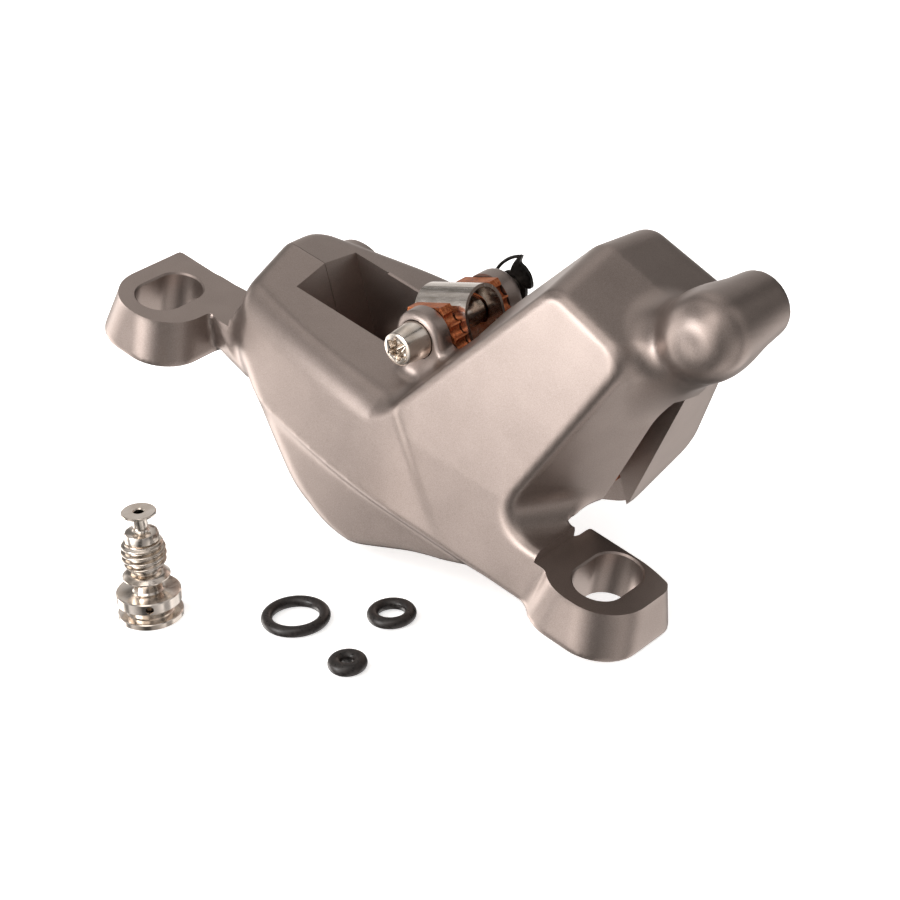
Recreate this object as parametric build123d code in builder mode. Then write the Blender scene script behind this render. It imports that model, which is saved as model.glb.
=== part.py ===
from build123d import *
import math
import os

# Bicycle disc brake caliper with post-mount ears: two bolted halves, four pistons, top-loading pads.
# The origin is midway between the two mounting bolts, on the machined seats of their washers.
# +X runs along the ears, +Y points outboard, away from the rider's leg, +Z runs up along the bolts.
# The pads, pistons and rotor slot lean about Y by PAD_LEAN: "along" is measured along a pad, "up" is
# square to it, away from the hub. The outboard half lies past the parting plane y = PARTING.

# Angles in degrees
PAD_LEAN = 27.5
ARM_RISE_ANGLE = 55.0
ARM_END_FALL = 13.8
FLANK_FALL = 41.1
SIDE_DRAFT = 10.0
OUTBOARD_SIDE_DRAFT = 5.0
FACE_LEAN = 10.6
LEFT_CORNER_TURN = 30.0
OUTBOARD_CORNER_TURN = 18.7
END_TURN = 27.0
END_DROOP = 14.8
OUTBOARD_END_DROOP = 12.8
BELLY_RISE = 27.0
BENCH_LEAN = 14.75
BOSS_DRAFT = 6.0
EAR_DRAFT = 10.0

# Mounting ears
POST_SPACING = 74.0
EAR_THICKNESS = 6.3
SLOT_WIDTH = 6.46
SLOT_LENGTH = 9.74
EAR_FRONT = 7.1
EAR_CORNER = 6.1
LEFT_EAR_INNER = 30.3
LEFT_EAR_OUTER = 42.9
LEFT_EAR_REAR = 7.7
RIGHT_EAR_INNER = 30.0
RIGHT_EAR_OUTER = 43.3
RIGHT_EAR_REAR = 5.4
EAR_BEVEL_LONG = 2.9
EAR_BEVEL_SHORT = 1.4

# Crown, the outline that both halves share at the parting plane
PARTING = 11.0
ROOF_HEIGHT = 8.8
LEFT_END = 29.2
LEFT_END_DROP = 0.58
VEE_X = 2.42
ARM_RISE_LENGTH = 30.64
CROWN_RIGHT = 46.0
CROWN_DEPTH = 27.4
CROWN_REACH = 19.5
FACE_REACH = 17.05
CROWN_LEFT_RADIUS = 4.2
CROWN_ARM_RADIUS = 2.0
CROWN_FOOT_RADIUS = 4.0
VEE_RADIUS = 2.5
BELLY_DEPTH = 14.8
BELLY_CORNER = 5.5
BELLY_RECESS = 1.0
FACE_RIM_RADIUS = 0.8
BELLY_STEP = 1.0
LEFT_CORNER_START = 1.5
OUTBOARD_CORNER_START = 7.0
OUTBOARD_BELLY_START = 3.5
END_POINT_X = 34.1
END_POINT_Y = 8.0
END_POINT_Z = 18.2
END_EDGE_TRIM = 1.2
OUTBOARD_END_X = 29.08

# Necks that carry the ears
RIGHT_NECK_X = 16.0
RIGHT_NECK_LAP = 0.3
RIGHT_NECK_SHOULDER_X = 27.5
RIGHT_NECK_SHOULDER_Z = 2.5
RIGHT_NECK_TIP_Z = 1.6
RIGHT_NECK_TOP_X = 24.5
RIGHT_NECK_TOP_Z = 6.0
NECK_REAR = 2.4
LEFT_NECK_FRONT = 1.5
LEFT_NECK_LAP = 1.2
LEFT_NECK_X = 20.0
LEFT_NECK_FOOT_X = 24.8
LEFT_NECK_FOOT_DROP = 7.2
LEFT_NECK_TOP_X = 26.0
LEFT_NECK_TOP_Z = 2.0
LEFT_NECK_SEAT_DROP = 0.3

# Bleed port boss at the end of the arm
BOSS_X = 39.3
BOSS_Z = 33.7
BOSS_FRONT = 2.0
BOSS_REAR = 15.8
BOSS_RADIUS = 5.5
BOSS_DOME = 3.6
BOSS_GAP = 0.5
BOSS_NECK_FRONT = 1.2
BOSS_NECK_REAR = 9.5
BOSS_NECK_LOW_X = 33.2
BOSS_NECK_LOW_Z = 19.4
BOSS_NECK_MID_X = 38.3
BOSS_NECK_MID_Z = 24.2
BOSS_NECK_SIDE_X = 43.4
BOSS_NECK_SIDE_Z = 30.4
BOSS_NECK_TOP_X = 37.2
BOSS_NECK_TOP_Z = 38.0
BOSS_NECK_DIP_X = 32.5
BOSS_NECK_DIP_Z = 32.4
BOSS_NECK_ROOT_X = 27.0
BOSS_NECK_ROOT_Z = 31.0
BLEED_BORE_RADIUS = 2.65
BLEED_BORE_DEPTH = 10.0
BLEED_SEAT_RADIUS = 3.3
BLEED_SEAT_DEPTH = 1.5

# Pad cavity, window and rotor slot
PAD_END_CLEARANCE = 0.3
PAD_ROOF_CLEARANCE = 0.5
CAVITY_HALF_WIDTH = 5.7
WINDOW_START = 14.2
WINDOW_END = 15.5
WINDOW_FLOOR = 3.0
ROTOR_HALF_SLOT = 3.15
ROTOR_SLOT_RADIUS = 102.0
ROTOR_SLOT_TOP = 8.0
HEEL_RELIEF_START = 8.0
HEEL_RELIEF_UP = 11.5

# Pistons, their bores and seals
PISTON_UP = 2.7
LEADING_PISTON_ALONG = 1.1
LEADING_PISTON_RADIUS = 7.5
TRAILING_PISTON_ALONG = 16.3
TRAILING_PISTON_RADIUS = 8.0
BORE_DEPTH = 6.8
BORE_CLEARANCE = 0.05
PISTON_BACK_GAP = 0.4
PISTON_WALL = 1.6
PISTON_CROWN = 2.0
PISTON_CHAMFER = 0.4
PAD_TO_PISTON = 0.04
SEAL_GROOVE_DEPTH = 0.8
SEAL_GROOVE_WIDTH = 1.4
SEAL_GROOVE_INSET = 0.4
SEAL_CLEARANCE = 0.03

# Pads
PAD_CENTRE = 7.6
PAD_LENGTH = 34.8
PAD_FOOT = 12.5
PAD_SHOULDER = 4.2
PAD_CROWN = 6.0
PAD_CORNER = 3.0
PLATE_THICKNESS = 1.8
PLATE_BACK_GAP = 0.2
LINING_THICKNESS = 2.3
LINING_INSET = 0.8
TAB_TOP = 13.8
TAB_TOP_HALF = 2.75
TAB_FLARE_UP = 9.5
TAB_HALF = 4.7
TAB_SCALLOP_RADIUS = 0.75
TAB_SCALLOP_COUNT = 4

# Pad pin, its bosses and the clip on its end
PIN_ALONG = 7.4
PIN_UP = 10.6
PIN_RADIUS = 2.0
PIN_HEAD_FRONT = 0.6
PIN_HEAD_REAR = 3.4
PIN_HEAD_RADIUS = 2.55
PIN_FACE_RADIUS = 2.15
PIN_SOCKET_RADIUS = 1.25
PIN_SOCKET_DEPTH = 1.6
PIN_LOBE_RADIUS = 0.36
PIN_LOBE_COUNT = 6
PIN_TIP = 22.6
PIN_GROOVE_RADIUS = 1.5
PIN_GROOVE_WIDTH = 0.7
PIN_GROOVE_START = 21.25
PIN_CLEARANCE = 0.05
PIN_TAB_CLEARANCE = 0.2
PIN_BOSS_FRONT = 3.0
PIN_BOSS_RADIUS = 3.6
OUTBOARD_BOSS_REACH = 19.5
CLIP_THICKNESS = 0.5
CLIP_RING_RADIUS = 2.7
CLIP_MOUTH = 2.2
CLIP_EAR_ALONG = 1.7
CLIP_EAR_UP = 1.5
CLIP_EAR_RADIUS = 1.9
CLIP_WIRE = 0.6
CLIP_WIRE_START = 2.0
CLIP_WIRE_RISE = 2.0
CLIP_WIRE_MIDDLE = 1.0
CLIP_WIRE_TOP = 4.1
CLIP_WIRE_END = 3.4

# Pad spring
SPRING_START = 3.4
SPRING_END = 12.0
SPRING_TOP = 14.9
SPRING_FOOT = 5.6
SPRING_THICKNESS = 0.45
SPRING_SIDE_GAP = 0.15
SPRING_HOLE_RADIUS = 2.3

# Body bolts
LEFT_BOLT_X = 22.6
LEFT_BOLT_Z = 1.6
RIGHT_BOLT_BEYOND = 4.0
RIGHT_BOLT_BELOW = 9.9
BOLT_RADIUS = 2.5
BOLT_HEAD_RADIUS = 4.25
BOLT_HEAD_HEIGHT = 5.0
BOLT_SEAT = 17.0
BOLT_TIP = 5.0
BOLT_HOLE_EXTRA = 0.6
BOLT_CLEARANCE = 0.05
BOLT_LOOSE_CLEARANCE = 0.2
BOLT_HEAD_CLEARANCE = 0.15
BOLT_SOCKET_RADIUS = 2.0
BOLT_SOCKET_DEPTH = 2.6
BOLT_SOCKET_SIDES = 6
BOLT_HEAD_BEVEL = 0.5
BOLT_PAD_WALL = 1.1

# Oil ways and hose port
OILWAY_RADIUS = 0.8
OILWAY_FROM_PARTING = 8.4
CROSSOVER_ALONG = 23.0
CROSSOVER_UP = 11.0
CROSSOVER_RADIUS = 1.25
CROSSOVER_SEAT_RADIUS = 2.6
CROSSOVER_SEAT_DEPTH = 1.2
CROSSOVER_SEAL_WIRE = 0.56
CROSSOVER_SEAL_CLEARANCE = 0.03
BLEED_WAY_Y = 4.2
HOSE_PORT_X = 26.5
HOSE_PORT_Z = 12.6
HOSE_PORT_FACE = 23.6
HOSE_PORT_RADIUS = 3.5
HOSE_PORT_DEPTH = 5.0
HOSE_SPOT_RADIUS = 5.2

# Bleed screw and seals, lying on the bench that the caliper rests on.
# Places are given from the right ear's outer bottom edge, where the caliper touches the bench.
SCREW_BACK = 52.6
SCREW_SIDE = 29.4
SCREW_BASE_RADIUS = 4.05
SCREW_BASE_HEIGHT = 0.8
SCREW_GROOVE_RADIUS = 2.85
SCREW_GROOVE_HEIGHT = 1.3
SCREW_DISC_RADIUS = 4.0
SCREW_DISC_HEIGHT = 1.5
SCREW_CROSS_HOLE = 0.45
SCREW_WAIST_RADIUS = 1.78
SCREW_WAIST_HEIGHT = 1.9
SCREW_FLANGE_RADIUS = 2.95
SCREW_FLANGE_HEIGHT = 0.8
SCREW_RELIEF_RADIUS = 1.6
SCREW_RELIEF_HEIGHT = 0.75
SCREW_THREAD_RADIUS = 2.8
SCREW_ROOT_RADIUS = 2.2
SCREW_THREAD_PITCH = 1.0
SCREW_CREST_COUNT = 4
SCREW_COLLAR_RADIUS = 2.15
SCREW_COLLAR_HEIGHT = 1.4
SCREW_NECK_RADIUS = 0.93
SCREW_NECK_HEIGHT = 2.2
SCREW_TIP_RADIUS = 2.15
SCREW_TIP_HEIGHT = 0.35
SCREW_BORE_RADIUS = 0.6
SCREW_BORE_DEPTH = 5.0
LARGE_SEAL_BACK = 36.8
LARGE_SEAL_SIDE = 20.2
LARGE_SEAL_RADIUS = 3.55
LARGE_SEAL_WIRE = 0.71
MEDIUM_SEAL_BACK = 27.7
MEDIUM_SEAL_SIDE = 12.9
MEDIUM_SEAL_RADIUS = 2.31
MEDIUM_SEAL_WIRE = 0.73
SMALL_SEAL_BACK = 24.5
SMALL_SEAL_SIDE = 24.3
SMALL_SEAL_RADIUS = 1.55
SMALL_SEAL_WIRE = 0.83

# One reach that carries every cut and blank clear of the body, and how near counts as touching
OVERRUN = 60.0
TOUCH = 0.02

# Faces across the caliper, worked out from the parting plane
CAVITY_FLOOR_IN = PARTING - CAVITY_HALF_WIDTH
PLATE_BACK_IN = CAVITY_FLOOR_IN + PLATE_BACK_GAP
PLATE_FRONT_IN = PLATE_BACK_IN + PLATE_THICKNESS
EAR_X = POST_SPACING / 2
OILWAY_IN = PARTING - OILWAY_FROM_PARTING

# Ends of the pads, and of the cavity that holds them
PAD_START = PAD_CENTRE - PAD_LENGTH / 2
PAD_END = PAD_CENTRE + PAD_LENGTH / 2
CAVITY_START = PAD_START - PAD_END_CLEARANCE
CAVITY_END = PAD_END + PAD_END_CLEARANCE
CAVITY_ROOF = PAD_CROWN + PAD_ROOF_CLEARANCE


def leaned(along, up):
    """Point (x, z) of a place given along and up from the origin in the pads' own directions."""
    turn = math.radians(PAD_LEAN)
    return (
        along * math.cos(turn) - up * math.sin(turn),
        along * math.sin(turn) + up * math.cos(turn),
    )


def pad_plane(y):
    """Plane across the pads at y: local x is along, local y is up, and it looks towards -Y."""
    turn = math.radians(PAD_LEAN)
    return Plane(origin=(0, y, 0), x_dir=(math.cos(turn), 0, math.sin(turn)), z_dir=(0, -1, 0))


def side_plane(y):
    """Plane square to Y at y: local x is X, local y is Z, and it looks towards -Y."""
    return Plane(origin=(0, y, 0), x_dir=(1, 0, 0), z_dir=(0, -1, 0))


def face_y(z):
    """Y of the inboard face at height z: it leans back as it rises."""
    return PARTING - FACE_REACH + (z + EAR_THICKNESS) * math.tan(math.radians(FACE_LEAN))


def polygon_on(plane, points):
    """Closed outline through the points, as a sketch on the plane."""
    with BuildSketch(plane) as outline:
        with BuildLine():
            Polyline(*points, close=True)
        make_face()
    return outline.sketch


def disc_on(plane, x, y, radius):
    """Round outline at a place on the plane."""
    with BuildSketch(plane) as outline:
        with Locations((x, y)):
            Circle(radius)
    return outline.sketch


def box_on(plane, left, bottom, right, top):
    """Rectangular outline between two corners on the plane."""
    with BuildSketch(plane) as outline:
        with Locations(((left + right) / 2, (bottom + top) / 2)):
            Rectangle(right - left, top - bottom)
    return outline.sketch


def arm_corner():
    """X and Z of the corner where the rising edge of the arm meets its top."""
    rise = math.radians(ARM_RISE_ANGLE)
    return VEE_X + ARM_RISE_LENGTH * math.cos(rise), ROOF_HEIGHT + ARM_RISE_LENGTH * math.sin(rise)


def crown_points():
    """Corners of the outline that both halves share at the parting plane, from the left roof corner."""
    arm_x, arm_z = arm_corner()
    fall = (CROWN_RIGHT - arm_x) * math.tan(math.radians(ARM_END_FALL))
    flank = (CROWN_DEPTH - LEFT_END_DROP) / math.tan(math.radians(FLANK_FALL))
    return [
        (-LEFT_END, ROOF_HEIGHT),
        (VEE_X, ROOF_HEIGHT),
        (arm_x, arm_z),
        (CROWN_RIGHT, arm_z - fall),
        (CROWN_RIGHT, -CROWN_DEPTH),
        (flank - LEFT_END, -CROWN_DEPTH),
        (-LEFT_END, -LEFT_END_DROP),
    ]


def belly_corner():
    """Point at the parting plane where the falling flank meets the flat under the belly."""
    lean = math.radians(PAD_LEAN)
    fall = math.tan(math.radians(FLANK_FALL))
    level = BELLY_DEPTH / math.cos(lean)
    run = (level - LEFT_END_DROP + LEFT_END * math.tan(lean)) / (fall + math.tan(lean))
    return (run - LEFT_END, PARTING, -LEFT_END_DROP - run * fall)


def inward_edges(blank):
    """Edges that run from the parting plane towards the face."""
    return blank.edges().filter_by(lambda edge: abs((edge @ 1 - edge @ 0).Y) > edge.length / 2)


def crown_blank(draft):
    """Drafted block from the parting plane to the inboard side, with its long edges rounded."""
    corners = crown_points()
    with BuildPart() as blank:
        extrude(polygon_on(side_plane(PARTING), corners), amount=CROWN_REACH, taper=draft)
        rounds = [
            (corners[0], CROWN_LEFT_RADIUS),
            (corners[1], VEE_RADIUS),
            (corners[2], CROWN_ARM_RADIUS),
            (corners[6], CROWN_FOOT_RADIUS),
        ]
        for (x, z), radius in rounds:
            fillet(inward_edges(blank).sort_by_distance((x, PARTING, z))[0], radius)
        belly = pad_plane(PARTING)
        extrude(box_on(belly, -OVERRUN, -OVERRUN, OVERRUN, -BELLY_DEPTH), amount=OVERRUN, mode=Mode.SUBTRACT)
        fillet(inward_edges(blank).sort_by_distance(belly_corner())[0], BELLY_CORNER)
    return blank.part


def flat_cut(origin, direction):
    """Plane that trims the body: what lies on the side the direction points to is removed."""
    split(bisect_by=Plane(origin=origin, z_dir=direction), keep=Keep.BOTTOM)


def end_direction():
    """Direction that the end of the inboard arm faces."""
    turn = math.radians(END_TURN)
    droop = math.radians(END_DROOP)
    return Vector(math.cos(turn) * math.cos(droop), -math.sin(turn) * math.cos(droop), -math.sin(droop))


def end_edge_flat():
    """Origin and direction of the narrow flat between the inboard face and the end of the arm."""
    lean = math.radians(FACE_LEAN)
    end = end_direction()
    level = face_y(END_POINT_Z)
    edge = Vector(END_POINT_X + (END_POINT_Y - level) * end.Y / end.X, level, END_POINT_Z)
    facing = (end + Vector(0, -math.cos(lean), math.sin(lean))).normalized()
    return edge - facing * END_EDGE_TRIM, facing


def bore_places():
    """Along, up and radius of the two piston bores of a half."""
    return [
        (-LEADING_PISTON_ALONG, -PISTON_UP, LEADING_PISTON_RADIUS),
        (TRAILING_PISTON_ALONG, -PISTON_UP, TRAILING_PISTON_RADIUS),
    ]


def bolt_places():
    """X and Z of the two body bolts: the right one hangs from the arm's upper corner."""
    arm_x, arm_z = arm_corner()
    return [(-LEFT_BOLT_X, LEFT_BOLT_Z), (arm_x + RIGHT_BOLT_BEYOND, arm_z - RIGHT_BOLT_BELOW)]


def pin_pedestal(front):
    """Boss round the pad pin, standing on the crown between the front and the window."""
    outline = pad_plane(CAVITY_FLOOR_IN)
    reach = CAVITY_FLOOR_IN - front
    extrude(disc_on(outline, PIN_ALONG, PIN_UP, PIN_BOSS_RADIUS), amount=reach)
    extrude(
        box_on(outline, PIN_ALONG - PIN_BOSS_RADIUS, 0, PIN_ALONG + PIN_BOSS_RADIUS, PIN_UP),
        amount=reach,
    )


def inner_cuts():
    """Pad cavity, window, rotor slot, piston bores, seal grooves and oil ways of the inboard half."""
    parting = pad_plane(PARTING)
    cavity = box_on(parting, CAVITY_START, -OVERRUN, CAVITY_END, CAVITY_ROOF)
    extrude(cavity, amount=CAVITY_HALF_WIDTH, mode=Mode.SUBTRACT)
    window = box_on(parting, -WINDOW_START, WINDOW_FLOOR, WINDOW_END, OVERRUN)
    extrude(window, amount=CAVITY_HALF_WIDTH, mode=Mode.SUBTRACT)
    slot = disc_on(parting, PAD_CENTRE, ROTOR_SLOT_TOP - ROTOR_SLOT_RADIUS, ROTOR_SLOT_RADIUS)
    extrude(slot, amount=ROTOR_HALF_SLOT, mode=Mode.SUBTRACT)
    floor = pad_plane(CAVITY_FLOOR_IN)
    groove = pad_plane(CAVITY_FLOOR_IN - SEAL_GROOVE_INSET)
    for along, up, radius in bore_places():
        extrude(disc_on(floor, along, up, radius + BORE_CLEARANCE), amount=BORE_DEPTH, mode=Mode.SUBTRACT)
        ring = disc_on(groove, along, up, radius + SEAL_GROOVE_DEPTH)
        extrude(ring, amount=SEAL_GROOVE_WIDTH, mode=Mode.SUBTRACT)
    link = Plane(origin=(0, OILWAY_IN, 0), x_dir=(0, 1, 0), z_dir=pad_plane(0).x_dir)
    way = disc_on(link, 0, -PISTON_UP, OILWAY_RADIUS)
    extrude(way, amount=TRAILING_PISTON_ALONG, mode=Mode.SUBTRACT)
    x, z = leaned(CROSSOVER_ALONG, CROSSOVER_UP)
    drop = Plane(origin=(x, OILWAY_IN, z), z_dir=pad_plane(0).y_dir)
    extrude(disc_on(drop, 0, 0, OILWAY_RADIUS), amount=-CROSSOVER_UP, mode=Mode.SUBTRACT)
    crossing = disc_on(parting, CROSSOVER_ALONG, CROSSOVER_UP, CROSSOVER_RADIUS)
    extrude(crossing, amount=OILWAY_FROM_PARTING, mode=Mode.SUBTRACT)


def lean_trim(recess):
    """Keep what lies between the parting plane and the leaning face; the belly steps in by the recess."""
    across = Plane(origin=(0, 0, 0), x_dir=(0, 1, 0), z_dir=(1, 0, 0))
    foot = face_y(-EAR_THICKNESS)
    profile = [
        (PARTING, -OVERRUN),
        (PARTING, OVERRUN),
        (face_y(OVERRUN), OVERRUN),
        (foot, -EAR_THICKNESS),
        (foot + recess, -EAR_THICKNESS - BELLY_STEP),
        (foot + recess, -OVERRUN),
    ]
    extrude(polygon_on(across, profile), amount=OVERRUN, both=True, mode=Mode.INTERSECT)


def rim_edges(blank):
    """Edges round the leaning face that lie above the mounting plane."""
    def on_face(point):
        return abs(point.Y - face_y(point.Z)) < TOUCH

    rim = blank.edges().filter_by(lambda edge: all(on_face(edge @ place) for place in (0, 0.5, 1)))
    return rim.filter_by(lambda edge: (edge @ 0.5).Z > 0)


def bleed_boss():
    """Domed boss at the end of the arm; its bore opens outboard."""
    length = BOSS_REAR - BOSS_FRONT
    rear_radius = BOSS_RADIUS - length * math.tan(math.radians(BOSS_DRAFT))
    with BuildPart() as boss:
        extrude(disc_on(side_plane(BOSS_REAR), BOSS_X, BOSS_Z, rear_radius), amount=length, taper=-BOSS_DRAFT)
        fillet(boss.edges().group_by(Axis.Y)[0], BOSS_DOME)
    return boss.part


def ear(inner, outer, rear, bevel):
    """Mounting ear with a round nose, between two places along X, with an optional bevelled rear corner."""
    side = math.copysign(1, outer)
    corners = [(inner, -EAR_FRONT), (inner, rear), (outer, rear), (outer, -EAR_FRONT)]
    if bevel:
        corners[2:3] = [(outer - side * EAR_BEVEL_LONG, rear), (outer, rear - EAR_BEVEL_SHORT)]
    with BuildSketch(Plane.XY) as outline:
        with BuildLine():
            Polyline(*corners, close=True)
        make_face()
        fillet(outline.vertices().group_by(Axis.Y)[0], EAR_CORNER)
    extrude(outline.sketch, amount=-EAR_THICKNESS, taper=-EAR_DRAFT)
    with BuildSketch(Plane.XY) as slot:
        with Locations((side * EAR_X, 0)):
            SlotOverall(SLOT_LENGTH, SLOT_WIDTH, rotation=90)
    extrude(slot.sketch, amount=-EAR_THICKNESS, mode=Mode.SUBTRACT)


def necks():
    """Webs that carry the two ears and the bleed boss, before the face is trimmed to its lean."""
    right = [
        (RIGHT_NECK_X, -EAR_THICKNESS),
        (RIGHT_EAR_INNER + RIGHT_NECK_LAP, -EAR_THICKNESS),
        (RIGHT_EAR_INNER + RIGHT_NECK_LAP, RIGHT_NECK_TIP_Z),
        (RIGHT_NECK_SHOULDER_X, RIGHT_NECK_SHOULDER_Z),
        (RIGHT_NECK_TOP_X, RIGHT_NECK_TOP_Z),
        (RIGHT_NECK_X, RIGHT_NECK_TOP_Z),
    ]
    extrude(polygon_on(side_plane(NECK_REAR), right), amount=CROWN_REACH)
    left = [
        (-LEFT_EAR_INNER - LEFT_NECK_LAP, -LEFT_NECK_SEAT_DROP),
        (-LEFT_EAR_INNER - LEFT_NECK_LAP, -EAR_THICKNESS),
        (-LEFT_EAR_INNER, -EAR_THICKNESS),
        (-LEFT_NECK_FOOT_X, -LEFT_NECK_FOOT_DROP),
        (-LEFT_NECK_X, -EAR_THICKNESS),
        (-LEFT_NECK_TOP_X, LEFT_NECK_TOP_Z),
    ]
    extrude(polygon_on(side_plane(LEFT_EAR_REAR), left), amount=LEFT_EAR_REAR + LEFT_NECK_FRONT)
    arm = [
        (BOSS_NECK_LOW_X, BOSS_NECK_LOW_Z),
        (BOSS_NECK_MID_X, BOSS_NECK_MID_Z),
        (BOSS_NECK_SIDE_X, BOSS_NECK_SIDE_Z),
        (BOSS_NECK_TOP_X, BOSS_NECK_TOP_Z),
        (BOSS_NECK_DIP_X, BOSS_NECK_DIP_Z),
        (BOSS_NECK_ROOT_X, BOSS_NECK_ROOT_Z),
    ]
    extrude(polygon_on(side_plane(BOSS_NECK_REAR), arm), amount=BOSS_NECK_REAR - BOSS_NECK_FRONT)


# Inboard half: carries both ears and the bleed boss
with BuildPart() as inboard_half:
    add(crown_blank(SIDE_DRAFT))
    relief = box_on(pad_plane(PARTING), HEEL_RELIEF_START, -OVERRUN, OVERRUN, -HEEL_RELIEF_UP)
    extrude(relief, amount=PARTING - NECK_REAR, mode=Mode.SUBTRACT)
    turn = math.radians(LEFT_CORNER_TURN)
    flat_cut((-LEFT_END, PARTING - LEFT_CORNER_START, 0), (-math.cos(turn), -math.sin(turn), 0))
    flat_cut((END_POINT_X, END_POINT_Y, END_POINT_Z), end_direction())
    lean_trim(BELLY_RECESS)
    flat_cut(*end_edge_flat())
    fillet(rim_edges(inboard_half), FACE_RIM_RADIUS)
    necks()
    lean_trim(BELLY_RECESS)
    ear(-LEFT_EAR_INNER, -LEFT_EAR_OUTER, LEFT_EAR_REAR, False)
    ear(RIGHT_EAR_INNER, RIGHT_EAR_OUTER, RIGHT_EAR_REAR, True)
    add(bleed_boss())
    pin_pedestal(PIN_BOSS_FRONT)
    inner_cuts()
    pin_line = pad_plane(PARTING)
    pin_hole = disc_on(pin_line, PIN_ALONG, PIN_UP, PIN_RADIUS + PIN_CLEARANCE)
    extrude(pin_hole, amount=PARTING, mode=Mode.SUBTRACT)
    head_seat = disc_on(pad_plane(PIN_HEAD_REAR), PIN_ALONG, PIN_UP, PIN_HEAD_RADIUS + PIN_CLEARANCE)
    extrude(head_seat, amount=PARTING, mode=Mode.SUBTRACT)
    for x, z in bolt_places():
        thread = disc_on(side_plane(PARTING), x, z, BOLT_RADIUS + BOLT_CLEARANCE)
        extrude(thread, amount=PARTING - BOLT_TIP + BOLT_HOLE_EXTRA, mode=Mode.SUBTRACT)
    seal_seat = disc_on(pad_plane(PARTING), CROSSOVER_ALONG, CROSSOVER_UP, CROSSOVER_SEAT_RADIUS)
    extrude(seal_seat, amount=CROSSOVER_SEAT_DEPTH, mode=Mode.SUBTRACT)
    bore_mouth = side_plane(BOSS_REAR)
    for radius, depth in ((BLEED_SEAT_RADIUS, BLEED_SEAT_DEPTH), (BLEED_BORE_RADIUS, BLEED_BORE_DEPTH)):
        extrude(disc_on(bore_mouth, BOSS_X, BOSS_Z, radius), amount=depth, mode=Mode.SUBTRACT)
    pilot = disc_on(bore_mouth, BOSS_X, BOSS_Z, OILWAY_RADIUS)
    extrude(pilot, amount=BOSS_REAR - BLEED_WAY_Y, mode=Mode.SUBTRACT)
    way_start = Vector(BOSS_X, BLEED_WAY_Y, BOSS_Z)
    x, z = leaned(CROSSOVER_ALONG, CROSSOVER_UP)
    way_run = Vector(x, OILWAY_IN, z) - way_start
    feed = disc_on(Plane(origin=way_start, z_dir=way_run), 0, 0, OILWAY_RADIUS)
    extrude(feed, amount=way_run.length, mode=Mode.SUBTRACT)

# Outboard half, made as a mirror image on the inboard side and then turned over
with BuildPart() as outboard_image:
    add(crown_blank(OUTBOARD_SIDE_DRAFT))
    rise = math.radians(BELLY_RISE)
    belly_start = leaned(0, -BELLY_DEPTH)
    lift = math.cos(rise)
    x, z = leaned(0, -1)
    flat_cut(
        (belly_start[0], PARTING - OUTBOARD_BELLY_START, belly_start[1]),
        (x * lift, -math.sin(rise), z * lift),
    )
    turn = math.radians(90 - OUTBOARD_CORNER_TURN)
    flat_cut((-LEFT_END, PARTING - OUTBOARD_CORNER_START, 0), (-math.cos(turn), -math.sin(turn), 0))
    droop = math.radians(OUTBOARD_END_DROOP)
    flat_cut((OUTBOARD_END_X, 0, 0), (math.cos(droop), 0, -math.sin(droop)))
    lean_trim(0)
    fillet(rim_edges(outboard_image), FACE_RIM_RADIUS)
    for x, z in bolt_places():
        wall_radius = BOLT_HEAD_RADIUS + BOLT_PAD_WALL
        extrude(
            disc_on(side_plane(PARTING), x, z, wall_radius),
            amount=BOLT_SEAT + BOLT_HEAD_HEIGHT - PARTING,
        )
    boss_space = disc_on(side_plane(PARTING), BOSS_X, BOSS_Z, BOSS_RADIUS + BOSS_GAP)
    extrude(boss_space, amount=OVERRUN, mode=Mode.SUBTRACT)
    pin_pedestal(2 * PARTING - OUTBOARD_BOSS_REACH)
    inner_cuts()
    pin_hole = disc_on(pad_plane(PARTING), PIN_ALONG, PIN_UP, PIN_RADIUS + PIN_CLEARANCE)
    extrude(pin_hole, amount=PARTING, mode=Mode.SUBTRACT)
    for x, z in bolt_places():
        shank_hole = disc_on(side_plane(PARTING), x, z, BOLT_RADIUS + BOLT_LOOSE_CLEARANCE)
        extrude(shank_hole, amount=OVERRUN, mode=Mode.SUBTRACT)
        head_seat = disc_on(side_plane(2 * PARTING - BOLT_SEAT), x, z, BOLT_HEAD_RADIUS + BOLT_HEAD_CLEARANCE)
        extrude(head_seat, amount=OVERRUN, mode=Mode.SUBTRACT)
    spot = side_plane(2 * PARTING - HOSE_PORT_FACE)
    extrude(disc_on(spot, HOSE_PORT_X, HOSE_PORT_Z, HOSE_SPOT_RADIUS), amount=OVERRUN, mode=Mode.SUBTRACT)
    extrude(
        disc_on(spot, HOSE_PORT_X, HOSE_PORT_Z, HOSE_PORT_RADIUS), amount=-HOSE_PORT_DEPTH, mode=Mode.SUBTRACT
    )
    along = leaned(1, 0)
    feed_plane = Plane(origin=(HOSE_PORT_X, OILWAY_IN, HOSE_PORT_Z), z_dir=(-along[0], 0, -along[1]))
    extrude(disc_on(feed_plane, 0, 0, OILWAY_RADIUS), amount=TRAILING_PISTON_RADIUS, mode=Mode.SUBTRACT)

with BuildPart() as outboard_half:
    mirror(outboard_image.part, about=side_plane(PARTING))


# Pads: steel backing plate with a scalloped tab, and the lining bonded to it
def pad_outline():
    """Body of a pad without its tab: flat foot, straight ends, arched top, as a local sketch."""
    with BuildSketch() as outline:
        with BuildLine():
            Polyline(
                (PAD_START, PAD_SHOULDER),
                (PAD_START, -PAD_FOOT),
                (PAD_END, -PAD_FOOT),
                (PAD_END, PAD_SHOULDER),
            )
            ThreePointArc((PAD_END, PAD_SHOULDER), (PAD_CENTRE, PAD_CROWN), (PAD_START, PAD_SHOULDER))
        make_face()
        fillet(outline.vertices(), PAD_CORNER)
    return outline.sketch


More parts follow.
